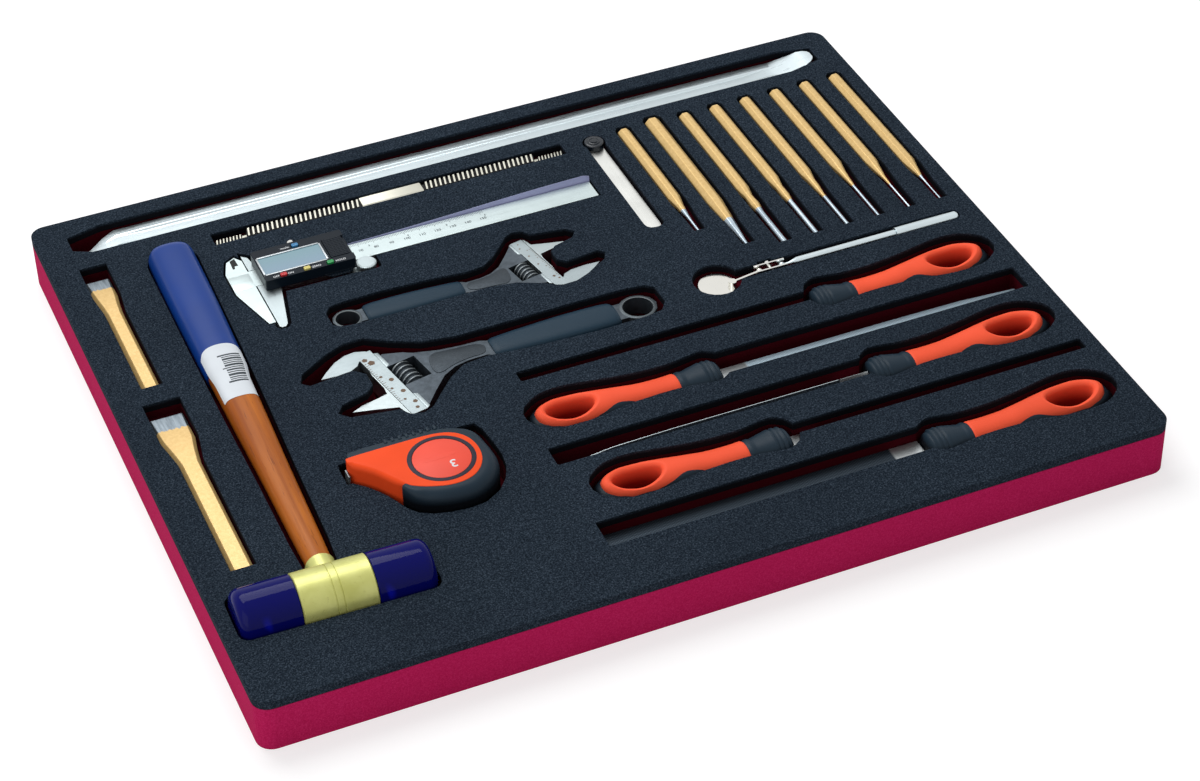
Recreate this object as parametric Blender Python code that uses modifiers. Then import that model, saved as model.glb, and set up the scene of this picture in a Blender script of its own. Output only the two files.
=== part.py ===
"""Foam tool inlay: a slab of two glued foam sheets for a tool trolley's drawer, with cut pockets and the
tools that lie in them. Metres, +Z up, +X along the slab's long edge, +Y towards its back edge.
The origin is the centre of the slab's underside."""

import math

import bmesh
import bpy
from mathutils import Matrix, Vector

MM = 0.001
WELD_GAP = 0.002 * MM
TURN_WELD = 0.001 * MM

# Slab
SLAB_WIDTH = 543 * MM
SLAB_DEPTH = 451 * MM
SLAB_HEIGHT = 34.5 * MM
SLAB_CORNER = 9.5 * MM
TOP_SHEET = 5.5 * MM
GLUE_LINE = 0.3 * MM

# Clearances
SEAT_GAP = 0.3 * MM
POCKET_GAP = 1.6 * MM
TIGHT_GAP = 1.2 * MM
CUT_OVERRUN = 20 * MM
FIT_GAP = 0.3 * MM

# Pry bar
PRY_LENGTH = 502 * MM
PRY_WIDTH = 22.5 * MM
PRY_THICK = 9 * MM
PRY_RIB = 6 * MM
PRY_RECESS = 1.3 * MM
PRY_TIP_WIDTH = 17 * MM
PRY_TIP_THICK = 2.6 * MM
PRY_TIP_RISE = 5.6 * MM
PRY_X = 3.3 * MM
PRY_Y = 200.3 * MM
PRY_TOP = -5.5 * MM
PRY_END_SLACK = 4 * MM

# Thread file
THREAD_LENGTH = 231 * MM
THREAD_SIDE = 10.5 * MM
THREAD_BLOCK_SHARE = 0.1753
THREAD_BAR_SHARE = 0.3268
THREAD_BAR_SIDE = 9.9 * MM
THREAD_END_SIDE = 5.6 * MM
THREAD_NECK_SIDE = 3.6 * MM
THREAD_TEETH = 28
THREAD_END_TEETH = 8
THREAD_TOOTH_DEPTH = 1.1 * MM
THREAD_X = -53.3 * MM
THREAD_Y = 168.5 * MM
THREAD_TOP = -0.4 * MM

# Caliper
BEAM_WIDTH = 16 * MM
BEAM_THICK = 3.5 * MM
BEAM_Y = 121.2 * MM
BEAM_TOP = -0.5 * MM
BEAM_LEFT = -173.8 * MM
BEAM_RIGHT = 64.3 * MM
JAW_REACH = 44.5 * MM
JAW_ROOT_WIDTH = 13.6 * MM
JAW_TIP_WIDTH = 3.6 * MM
INNER_JAW_REACH = 17 * MM
SLIDER_JAW_WIDTH = 13 * MM
SLIDER_WALL = 2.6 * MM
SLIDER_BACK = 2.4 * MM
HOUSING_LENGTH = 57.6 * MM
HOUSING_DEPTH = 31.8 * MM
HOUSING_LEFT = -155.8 * MM
HOUSING_TOP = 7 * MM
HOUSING_CORNER = 1.6 * MM
HOUSING_WALL = 1.8 * MM
THUMB_REST_LENGTH = 19 * MM
THUMB_REST_REACH = 3.6 * MM
THUMB_REST_TOP = 0.6 * MM
LCD_LENGTH = 40 * MM
LCD_DEPTH = 17.6 * MM
LCD_INSET = 1.4 * MM
LCD_FRONT = 6.2 * MM
LCD_THICK = 1 * MM
COVER_LENGTH = 12.6 * MM
COVER_DEPTH = 19.4 * MM
COVER_GAP = 2 * MM
COVER_THICK = 1.2 * MM
BUTTON_LENGTH = 4.2 * MM
BUTTON_DEPTH = 3 * MM
BUTTON_PROUD = 1 * MM
BUTTON_SEAT = 1.6 * MM
BUTTON_FRONT = 2.2 * MM
BUTTON_FIRST = 12 * MM
BUTTON_PITCH = 14.8 * MM
UNIT_BUTTON_X = 27.4 * MM
UNIT_BUTTON_BACK = 4.4 * MM
LOCK_RADIUS = 2.3 * MM
LOCK_LENGTH = 5 * MM
LOCK_X = 27.2 * MM
LOCK_DROP = 4.5 * MM
WHEEL_RADIUS = 6 * MM
WHEEL_THICK = 3.2 * MM
WHEEL_TOP = 0.8 * MM
WHEEL_OUT = 6.2 * MM
SLIDER_PLAY = 1 * MM

# Adjustable wrenches: outlines are shares of each wrench's length
SMALL_WRENCH_LENGTH = 170 * MM
LARGE_WRENCH_LENGTH = 217 * MM
SMALL_WRENCH_X = -128.6 * MM
SMALL_WRENCH_Y = 64.2 * MM
LARGE_WRENCH_X = 54.5 * MM
LARGE_WRENCH_Y = 3.6 * MM
WRENCH_MID_SMALL = -8.5 * MM
WRENCH_MID_LARGE = -10.5 * MM
HEAD_THICK_SHARE = 0.056
GRIP_THICK_SHARE = 0.086
GRIP_WIDTH_SHARE = 0.112
GRIP_START_SHARE = 0.098
GRIP_END_SHARE = 0.487
HOLE_SHARE = 0.0425
HOLE_PLACE_SHARE = 0.055
BODY_OUTLINE_SHARES = (
    (0.030, 0.046), (0.056, 0.053), (0.084, 0.044), (0.096, 0.034), (0.489, 0.034), (0.508, 0.023),
    (0.560, 0.024), (0.605, 0.034), (0.645, 0.058), (0.690, 0.110), (0.728, 0.158), (0.752, 0.178),
    (0.774, 0.182), (0.790, 0.168), (0.802, 0.134), (0.860, 0.118), (0.922, 0.103), (0.890, 0.087),
    (0.846, 0.077), (0.813, 0.068), (0.812, 0.040), (0.823, -0.020), (0.824, -0.062), (0.768, -0.097),
    (0.715, -0.082), (0.690, -0.068), (0.620, -0.050), (0.560, -0.044), (0.508, -0.042),
    (0.489, -0.034), (0.096, -0.034), (0.084, -0.044), (0.056, -0.053),
    (0.030, -0.046), (0.008, -0.026), (0.000, 0.000), (0.008, 0.026),
)
JAW_HEEL_SHARES = (0.758, 0.172)
JAW_TOE_SHARES = (0.810, -0.100)
JAW_BAR_WIDTH_SHARE = 0.046
JAW_HOOK_SHARES = (
    (0.7855, -0.106), (0.8345, -0.092), (0.845, -0.076), (0.875, -0.063), (0.930, -0.058), (0.988, -0.061),
    (0.960, -0.084), (0.914, -0.115), (0.868, -0.133), (0.834, -0.137), (0.805, -0.128),
)
HOOK_ROOT_SHARE = 0.845
SMALL_HOOK_REACH_SHARE = 1.0
LARGE_HOOK_REACH_SHARE = 0.76
WORM_PLACE_SHARES = (0.7303, 0.000)
WORM_RADIUS_SHARE = 0.034
WORM_LENGTH_SHARE = 0.086
WORM_PIN_SHARE = 0.010
WORM_WINDOW_SHARES = (0.094, 0.096)
WRENCH_POCKET_SHARES = (
    (-0.012, -0.040), (-0.014, 0.030), (0.010, 0.064), (0.060, 0.072), (0.200, 0.076), (0.400, 0.066),
    (0.520, 0.052), (0.590, 0.060), (0.640, 0.096), (0.690, 0.150), (0.725, 0.190), (0.755, 0.204),
    (0.790, 0.196), (0.812, 0.166), (0.940, 0.144), (0.966, 0.116), (0.944, 0.086), (0.866, 0.064),
    (0.842, 0.040), (0.842, -0.010), (0.870, -0.038), (0.995, -0.024), (1.016, -0.044), (1.000, -0.080),
    (0.915, -0.134), (0.860, -0.158), (0.800, -0.160), (0.740, -0.120), (0.660, -0.080), (0.560, -0.064),
    (0.400, -0.066), (0.200, -0.068), (0.060, -0.066), (0.010, -0.058),
)

# Tape measure
TAPE_LENGTH = 77 * MM
TAPE_DEPTH = 58 * MM
TAPE_HEIGHT = 30 * MM
TAPE_TOP = 10.5 * MM
TAPE_X = -168.2 * MM
TAPE_Y = -122.3 * MM
TAPE_EDGE = 3 * MM
TAPE_DISC_RADIUS = 19.4 * MM
TAPE_DISC_THICK = 1.2 * MM
TAPE_DISC_SHARES = (0.640, 0.485)
TAPE_MOUTH_SHARES = (0.000, 0.815)
TAPE_BLADE_WIDTH = 12 * MM
TAPE_BLADE_THICK = 0.8 * MM
TAPE_HOOK_THICK = 1 * MM
TAPE_HOOK_DEPTH = 6 * MM
TAPE_HOOK_HEIGHT = 13 * MM
TAPE_HOOK_PLAY = 0.8 * MM
TAPE_MOUTH_DROP = 7 * MM
TAPE_BUTTON_LENGTH = 15 * MM
TAPE_BUTTON_DEPTH = 4 * MM
TAPE_BUTTON_HEIGHT = 12 * MM
TAPE_BUTTON_SINK = 2 * MM
TAPE_BUTTON_SLOT = 22 * MM

# Mallet
MALLET_X = -206.6 * MM
MALLET_HEAD_Y = -160.7 * MM
MALLET_TURN = -1.4
MALLET_MID = -1.6 * MM
HEAD_RADIUS = 17 * MM
HEAD_LENGTH = 110 * MM
COLLAR_LENGTH = 42 * MM
FACE_ROUND = 6 * MM
SOCKET_RADIUS = 8.2 * MM
SOCKET_REACH = 8 * MM
MALLET_LENGTH = 329 * MM
GRIP_LENGTH = 129 * MM
GRIP_COAT = 1.1 * MM
GRIP_BUTT = 2.4 * MM
HANDLE_BUTT_WIDTH = 25.8 * MM
HANDLE_FLATNESS_SHARE = 0.76

# Chisels: lengths, blade and shank widths
SMALL_CHISEL_LENGTH = 117 * MM
SMALL_CHISEL_BLADE = 14.6 * MM
SMALL_CHISEL_SHANK = 10.6 * MM
SMALL_CHISEL_X = -245 * MM
SMALL_CHISEL_Y = 48 * MM
LARGE_CHISEL_LENGTH = 145 * MM
LARGE_CHISEL_BLADE = 20 * MM
LARGE_CHISEL_SHANK = 12.6 * MM
LARGE_CHISEL_X = -244.4 * MM
LARGE_CHISEL_Y = -121.5 * MM
CHISEL_THICK = 8 * MM
CHISEL_EDGE_THICK = 1.4 * MM
CHISEL_TOP = -2.5 * MM
CHISEL_BLADE_SHARE = 0.17
CHISEL_TAPER_SHARE = 0.27
CHISEL_END_SLACK = 8 * MM

# Feeler gauge
FEELER_X = 83.6 * MM
FEELER_HUB_Y = 166.6 * MM
FEELER_HUB_RADIUS = 6.3 * MM
FEELER_HUB_TOP = 1 * MM
FEELER_HUB_HEIGHT = 13 * MM
FEELER_SCREW_RADIUS = 2.6 * MM
FEELER_LEAF_LENGTH = 103 * MM
FEELER_LEAF_WIDTH = 10.4 * MM
FEELER_LEAF_COUNT = 5
FEELER_LEAF_THICK = 0.5 * MM
FEELER_LEAF_GAP = 0.3 * MM
FEELER_LEAF_TOP = -3.4 * MM

# Punches
PUNCH_FIRST_X = 106.2 * MM
PUNCH_PITCH = 21.5 * MM
PUNCH_END_Y = 172.5 * MM
PUNCH_CROWN = 1.3 * MM
PUNCH_CHAMFER = 1.2 * MM
PUNCH_END_SLACK = 3 * MM
PUNCH_SIDES = 8
PUNCH_ROLL = 180 / PUNCH_SIDES
PIN_PUNCH_LENGTH = 150 * MM
PIN_PUNCH_RADIUS = 4 * MM
PIN_PUNCH_NECK = 26 * MM
PIN_BODY_SHARES = (0.595, 0.585, 0.595, 0.595, 0.645, 0.705)
PIN_RADII = (2 * MM, 1.75 * MM, 1.4 * MM, 1.1 * MM, 0.8 * MM, 0.6 * MM)
CENTRE_PUNCH_LENGTH = 118 * MM
CENTRE_PUNCH_RADIUS = 4 * MM
CENTRE_TIP_RADIUS = 1 * MM
CENTRE_TAPER_SHARE = 0.32
CENTRE_POINT_SHARE = 0.1
DRIFT_PUNCH_LENGTH = 146 * MM
DRIFT_PUNCH_RADIUS = 5 * MM
DRIFT_TIP_RADIUS = 1.1 * MM
DRIFT_TAPER_SHARE = 0.33
DRIFT_PUNCH_END_Y = 176 * MM

# Inspection mirror
MIRROR_Y = 2.4 * MM
MIRROR_MID = -2.2 * MM
MIRROR_DISC_X = 94.2 * MM
MIRROR_DISC_Y = 3 * MM
MIRROR_DISC_RADIUS = 12 * MM
MIRROR_DISC_THICK = 2 * MM
MIRROR_DISC_TOP = -4.2 * MM
MIRROR_DISC_SLACK = 3 * MM
MIRROR_BALL_RADIUS = 2.5 * MM
MIRROR_ARM_RADIUS = 0.9 * MM
MIRROR_PIVOT_X = 129.6 * MM
MIRROR_LINK_LENGTH = 20 * MM
MIRROR_LINK_HEIGHT = 5 * MM
MIRROR_LINK_THICK = 1 * MM
MIRROR_LINK_SPAN = 6.6 * MM
MIRROR_SCREW_RADIUS = 2 * MM
MIRROR_SCREW_HEAD = 2.2 * MM
MIRROR_TUBE_START = 142 * MM
MIRROR_TUBE_RADIUS = 2.5 * MM
MIRROR_SLEEVE_START = 214 * MM
MIRROR_SLEEVE_RADIUS = 3.6 * MM
MIRROR_END = 256.6 * MM

# Files
FILE_BUTT_RIGHT = 260.3 * MM
HALF_ROUND_BUTT = -57.5 * MM
SQUARE_BUTT = -47 * MM
ROUND_FILE_Y = -33.5 * MM
HALF_ROUND_FILE_Y = -69.8 * MM
THREE_SQUARE_FILE_Y = -107.3 * MM
SQUARE_FILE_Y = -140.8 * MM
FLAT_FILE_Y = -178.2 * MM
FILE_MID = -13 * MM
FILE_HANDLE_LENGTH = 120 * MM
FILE_BOLSTER_WIDTH = 26 * MM
FILE_NECK_WIDTH = 20.5 * MM
FILE_RING_WIDTH = 30.5 * MM
FILE_RING_THICK = 20.6 * MM
FILE_RING_OFFSET = 2.2 * MM
FILE_HOLE_LENGTH = 33 * MM
FILE_HOLE_WIDTH = 19.5 * MM
FILE_HOLE_PLACE = 26.6 * MM
FILE_BLADE_LENGTH = 196 * MM
SHORT_BLADE_LENGTH = 187 * MM
FILE_HEEL = 20 * MM
FLAT_BLADE_WIDTH = 19.6 * MM
FLAT_BLADE_THICK = 5 * MM
HALF_ROUND_WIDTH = 12 * MM
HALF_ROUND_THICK = 5 * MM
THREE_SQUARE_SIDE = 14.4 * MM
ROUND_BLADE_RADIUS = 4 * MM
SQUARE_BLADE_SIDE = 8 * MM
TANG_RADIUS = 2.4 * MM
TANG_LENGTH = 40 * MM
BLADE_STATION_SHARES = ((0.0, 1.0), (0.62, 1.0), (0.82, 0.84), (1.0, 0.0))
BLADE_GAP = 0.9 * MM
TRENCH_GAP = 0.6 * MM
HALF_ROUND_TRENCH_SLACK = 3.6 * MM
RING_FRONT_GAP = 3.6 * MM
HANDLE_POCKET_CORNER = 3.5 * MM
HANDLE_STATION_SHARES = (
    # along from the bolster, the width it follows, share of that width, share of the ring's offset
    (0.000, "bolster", 0.60, 0.0), (0.012, "bolster", 0.82, 0.0), (0.040, "bolster", 0.98, 0.0),
    (0.075, "bolster", 1.00, 0.0), (0.130, "bolster", 0.92, 0.0), (0.220, "neck", 0.98, 0.0),
    (0.340, "neck", 0.96, 0.05), (0.450, "neck", 1.04, 0.20), (0.560, "neck", 1.18, 0.45),
    (0.660, "ring", 0.90, 0.75), (0.760, "ring", 1.00, 1.00), (0.850, "ring", 0.98, 1.00),
    (0.920, "ring", 0.84, 0.90), (0.970, "ring", 0.60, 0.80), (1.000, "ring", 0.26, 0.75),
)

MATERIALS = {
    "black_foam": ((0.028, 0.035, 0.045), 0.9, 0.0),
    "crimson_foam": ((0.4, 0.012, 0.08), 0.9, 0.0),
    "polished_steel": ((0.7, 0.74, 0.76), 0.25, 1.0),
    "dark_steel": ((0.12, 0.13, 0.14), 0.45, 1.0),
    "gold_paint": ((0.72, 0.5, 0.2), 0.4, 0.6),
    "brass_paint": ((0.42, 0.42, 0.1), 0.35, 0.7),
    "blue_plastic": ((0.03, 0.045, 0.32), 0.15, 0.0),
    "wood": ((0.45, 0.16, 0.06), 0.5, 0.0),
    "orange_plastic": ((1.0, 0.12, 0.04), 0.4, 0.0),
    "black_rubber": ((0.03, 0.04, 0.055), 0.6, 0.0),
    "black_plastic": ((0.03, 0.035, 0.045), 0.45, 0.0),
    "display_glass": ((0.42, 0.5, 0.62), 0.1, 0.0),
    "red_plastic": ((0.5, 0.01, 0.01), 0.4, 0.0),
    "yellow_plastic": ((0.7, 0.6, 0.12), 0.4, 0.0),
    "green_plastic": ((0.01, 0.3, 0.05), 0.4, 0.0),
    "light_blue_plastic": ((0.03, 0.14, 0.35), 0.4, 0.0),
    "mirror_glass": ((0.85, 0.87, 0.88), 0.05, 1.0),
}


def clear_scene():
    for found in list(bpy.data.objects):
        bpy.data.objects.remove(found, do_unlink=True)


def new_collection(name):
    collection = bpy.data.collections.new(name)
    bpy.context.scene.collection.children.link(collection)
    return collection


def make_materials():
    made = {}
    for name, (color, roughness, metallic) in MATERIALS.items():
        material = bpy.data.materials.new(name)
        material.use_nodes = True
        shader = material.node_tree.nodes["Principled BSDF"]
        shader.inputs["Base Color"].default_value = (*color, 1.0)
        shader.inputs["Roughness"].default_value = roughness
        shader.inputs["Metallic"].default_value = metallic
        made[name] = material
    return made


clear_scene()
PARTS = new_collection("foam_tool_inlay")
CUTTERS = new_collection("cutters")
CUTTERS.hide_render = True
MADE = make_materials()


def top(depth):
    """Height above the underside of a level given from the slab's top face."""
    return SLAB_HEIGHT + depth


def place_object(name, mesh, material, smooth=False):
    obj = bpy.data.objects.new(name, mesh)
    if material is None:
        CUTTERS.objects.link(obj)
        obj.hide_render = True
        obj.display_type = "WIRE"
    else:
        PARTS.objects.link(obj)
        mesh.materials.clear()
        mesh.materials.append(MADE[material])
    if smooth:
        mesh.shade_smooth()
        mesh.set_sharp_from_angle(angle=math.radians(35))
    return obj


def curve_to_mesh(curve_object, name):
    """The filled curve as a welded mesh in world space."""
    bpy.context.view_layer.update()
    graph = bpy.context.evaluated_depsgraph_get()
    mesh = bpy.data.meshes.new_from_object(curve_object.evaluated_get(graph))
    mesh.transform(curve_object.matrix_world)
    mesh.name = name
    work = bmesh.new()
    work.from_mesh(mesh)
    bmesh.ops.remove_doubles(work, verts=work.verts, dist=WELD_GAP)
    work.to_mesh(mesh)
    work.free()
    data = curve_object.data
    bpy.data.objects.remove(curve_object, do_unlink=True)
    bpy.data.curves.remove(data)
    return mesh


def prism(name, outlines, low, high, material, smooth=False):
    """A flat outline, with any holes, drawn up from low to high."""
    data = bpy.data.curves.new(name, "CURVE")
    data.dimensions = "2D"
    data.fill_mode = "BOTH"
    data.extrude = (high - low) / 2
    for outline in outlines:
        spline = data.splines.new("POLY")
        spline.points.add(len(outline) - 1)
        for point, (x, y) in zip(spline.points, outline):
            point.co = (x, y, 0, 1)
        spline.use_cyclic_u = True
    flat = bpy.data.objects.new(name + "_outline", data)
    flat.location.z = (high + low) / 2
    CUTTERS.objects.link(flat)
    return place_object(name, curve_to_mesh(flat, name), material, smooth)


def box(name, low, high, material):
    work = bmesh.new()
    bmesh.ops.create_cube(work, size=1)
    size = Vector(high) - Vector(low)
    middle = (Vector(high) + Vector(low)) / 2
    shape = Matrix.Translation(middle) @ Matrix.Diagonal((*size, 1))
    bmesh.ops.transform(work, matrix=shape, verts=work.verts)
    mesh = bpy.data.meshes.new(name)
    work.to_mesh(mesh)
    work.free()
    return place_object(name, mesh, material)


def turned(name, profile, steps, place, material, smooth=True):
    """A turned piece: profile is (radius, height) from the top down, round local Z, then set by place."""
    work = bmesh.new()
    points = [work.verts.new((radius, 0, height)) for radius, height in profile]
    for first, second in zip(points, points[1:]):
        work.edges.new((first, second))
    mesh = bpy.data.meshes.new(name)
    work.to_mesh(mesh)
    work.free()
    obj = place_object(name, mesh, material)
    screw = obj.modifiers.new("turn", "SCREW")
    screw.axis = "Z"
    screw.steps = steps
    screw.render_steps = steps
    screw.use_merge_vertices = True
    screw.merge_threshold = TURN_WELD
    screw.use_smooth_shade = False
    bpy.context.view_layer.update()
    graph = bpy.context.evaluated_depsgraph_get()
    solid = bpy.data.meshes.new_from_object(obj.evaluated_get(graph))
    solid.name = name
    obj.modifiers.clear()
    obj.data = solid
    obj.matrix_world = place
    if material is not None:
        solid.materials.clear()
        solid.materials.append(MADE[material])
    if smooth:
        solid.shade_smooth()
        solid.set_sharp_from_angle(angle=math.radians(35))
    return obj


def loft(name, rings, material, smooth=True):
    """A closed skin over rings of equal count, with flat ends."""
    work = bmesh.new()
    rows = [[work.verts.new(point) for point in ring] for ring in rings]
    count = len(rows[0])
    for low, high in zip(rows, rows[1:]):
        for i in range(count):
            j = (i + 1) % count
            work.faces.new((low[i], low[j], high[j], high[i]))
    work.faces.new(rows[0][::-1])
    work.faces.new(rows[-1])
    bmesh.ops.recalc_face_normals(work, faces=work.faces)
    mesh = bpy.data.meshes.new(name)
    work.to_mesh(mesh)
    work.free()
    return place_object(name, mesh, material, smooth)


def boolean(obj, other, operation):
    modifier = obj.modifiers.new(operation.lower(), "BOOLEAN")
    modifier.operation = operation
    modifier.solver = "EXACT"
    modifier.object = other
    return obj


def cut(obj, *cutters):
    for cutter in cutters:
        boolean(obj, cutter, "DIFFERENCE")
    return obj


def join(obj, *pieces):
    for piece in pieces:
        boolean(obj, piece, "UNION")
    return obj


def settle(obj):
    """The object's modifiers made part of its mesh."""
    bpy.context.view_layer.update()
    graph = bpy.context.evaluated_depsgraph_get()
    mesh = bpy.data.meshes.new_from_object(obj.evaluated_get(graph))
    obj.modifiers.clear()
    obj.data = mesh
    return obj


# Outlines


def arc(x, y, radius, start, end, steps):
    """Points on an arc, with its angles in degrees."""
    made = []
    for i in range(steps + 1):
        angle = math.radians(start + (end - start) * i / steps)
        made.append((x + radius * math.cos(angle), y + radius * math.sin(angle)))
    return made


def circle(x, y, radius, steps):
    return arc(x, y, radius, 0, 360, steps)[:-1]


def ellipse(x, y, half_length, half_width, steps):
    unit = circle(0, 0, 1, steps)
    return [(x + half_length * a, y + half_width * b) for a, b in unit]


def rounded_box(left, front, right, back, radius, steps=3):
    return (
        arc(right - radius, back - radius, radius, 0, 90, steps)
        + arc(left + radius, back - radius, radius, 90, 180, steps)
        + arc(left + radius, front + radius, radius, 180, 270, steps)
        + arc(right - radius, front + radius, radius, 270, 360, steps)
    )


def signed_area(points):
    total = 0
    for (x0, y0), (x1, y1) in zip(points, points[1:] + points[:1]):
        total += x0 * y1 - x1 * y0
    return total / 2


def blunted(points, reach):
    """A closed outline with each corner cut across, by reach or a third of the shorter side."""
    made = []
    count = len(points)
    for i, point in enumerate(points):
        corner = Vector(point)
        before = Vector(points[i - 1]) - corner
        after = Vector(points[(i + 1) % count]) - corner
        cut_off = min(reach, before.length / 3, after.length / 3)
        made.append(tuple(corner + before.normalized() * cut_off))
        made.append(tuple(corner + after.normalized() * cut_off))
    return made


def widened(points, gap):
    """The outline moved outwards by gap, square to its sides."""
    if signed_area(points) < 0:
        points = points[::-1]
    made = []
    count = len(points)
    for i in range(count):
        before = Vector(points[i]) - Vector(points[i - 1])
        after = Vector(points[(i + 1) % count]) - Vector(points[i])
        first = Vector((before.y, -before.x)).normalized()
        second = Vector((after.y, -after.x)).normalized()
        corner = first + second
        reach = gap * 2 / max(corner.length_squared, 1)
        made.append(tuple(Vector(points[i]) + corner * reach))
    return made


def scaled(shares, length, width):
    return [(x * length, y * width) for x, y in shares]


def moved(points, x, y, turn=0):
    """The points turned by turn degrees, then moved to x, y."""
    c = math.cos(math.radians(turn))
    s = math.sin(math.radians(turn))
    return [(x + c * a - s * b, y + s * a + c * b) for a, b in points]


POCKETS = []
STRAIGHT_SHARE = 0.004


def bends(points):
    """The outline without the points that lie on a straight side."""
    kept = []
    count = len(points)
    for i in range(count):
        before = Vector(points[i]) - Vector(points[i - 1])
        after = Vector(points[(i + 1) % count]) - Vector(points[i])
        turn = before.x * after.y - before.y * after.x
        if before.length and after.length and abs(turn) > STRAIGHT_SHARE * before.length * after.length:
            kept.append(points[i])
    return kept


def pocket(name, outline, floor):
    """Notes a pocket with its floor at this depth from the slab's top face."""
    POCKETS.append((name, bends(outline), floor))


def along_x(x, y, z):
    """Puts local Z along world +X."""
    return Matrix.Translation((x, y, z)) @ Matrix.Rotation(math.radians(90), 4, "Y")


def along_y(x, y, z, roll=0):
    """Puts local Z along world +Y."""
    return (
        Matrix.Translation((x, y, z))
        @ Matrix.Rotation(math.radians(-90), 4, "X")
        @ Matrix.Rotation(math.radians(roll), 4, "Z")
    )


def upright(x, y, z):
    return Matrix.Translation((x, y, z))


def oval(half_width, half_thick, count, squareness=2.0):
    """Points round a superellipse: 2 is an ellipse, more is squarer."""
    made = []
    for a, b in circle(0, 0, 1, count):
        wide = math.copysign(abs(a) ** (2 / squareness), a)
        high = math.copysign(abs(b) ** (2 / squareness), b)
        made.append((half_width * wide, half_thick * high))
    return made


def rings_along_x(stations):
    """Each station is (x, section points in y and z)."""
    return [[(x, y, z) for y, z in section] for x, section in stations]


def rings_along_y(stations):
    """Each station is (y, section points in x and z)."""
    return [[(x, y, z) for x, z in section] for y, section in stations]


def shifted(section, across, up):
    return [(a + across, b + up) for a, b in section]


# Pry bar

PRY_STATIONS_SHARES = (
    # along, width, shift to the front, drop of the top, thickness, recess
    (0.000, 0.34, 0.18, 0.70, 0.20, 0.0), (0.018, 0.48, 0.17, 0.34, 0.60, 0.0),
    (0.036, 0.80, 0.08, 0.10, 0.90, 0.0), (0.052, 1.00, 0.00, 0.00, 1.00, 0.4),
    (0.090, 1.00, 0.00, 0.00, 1.00, 1.0), (0.900, 1.00, 0.00, 0.00, 1.00, 1.0),
    (0.945, 0.96, 0.00, 0.00, 0.92, 0.0),
)
PRY_SPOON_SHARES = (
    # along, width of the tip, rise
    (0.972, 1.10, 0.46), (0.985, 1.00, 0.80), (0.993, 0.80, 0.94), (0.998, 0.52, 1.00), (1.000, 0.26, 1.00),
)


def ribbed_section(width, thick, recess, high):
    rib = width * PRY_RIB / PRY_WIDTH
    slope = rib / 5
    half = width / 2
    web = recess
    upper = [
        (-half, high), (-half + rib, high), (-half + rib + slope, high - web),
        (half - rib - slope, high - web), (half - rib, high), (half, high),
    ]
    low = high - thick
    lower = [
        (half, low), (half - rib, low), (half - rib - slope, low + web),
        (-half + rib + slope, low + web), (-half + rib, low), (-half, low),
    ]
    return upper + lower


def make_pry_bar():
    left = PRY_X - PRY_LENGTH / 2
    stations = []
    for along, width, front, drop, thick, recess in PRY_STATIONS_SHARES:
        section = ribbed_section(
            PRY_WIDTH * width, PRY_THICK * thick, PRY_RECESS * recess, top(PRY_TOP) - PRY_THICK * drop
        )
        stations.append((left + PRY_LENGTH * along, shifted(section, PRY_Y - PRY_WIDTH * front, 0)))
    for along, width, rise in PRY_SPOON_SHARES:
        section = ribbed_section(PRY_TIP_WIDTH * width, PRY_TIP_THICK, 0, top(PRY_TOP) + PRY_TIP_RISE * rise)
        stations.append((left + PRY_LENGTH * along, shifted(section, PRY_Y, 0)))
    loft("pry_bar", rings_along_x(stations), "polished_steel")
    low = -PRY_WIDTH / 2 - POCKET_GAP
    back = -low
    start = -PRY_LENGTH / 2 - PRY_END_SLACK
    end = PRY_LENGTH / 2 + PRY_END_SLACK / 2
    outline = [
        (start, low + PRY_WIDTH / 4), (start + PRY_WIDTH / 2, low), (end - PRY_WIDTH, low),
        (end, low + PRY_WIDTH / 4), (end, back - PRY_WIDTH / 4), (end - PRY_WIDTH, back),
        (start + PRY_WIDTH, back), (start, back - PRY_WIDTH / 4),
    ]
    pocket("pry", moved(outline, PRY_X, PRY_Y), PRY_TOP - PRY_THICK - SEAT_GAP)


# Thread file


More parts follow.
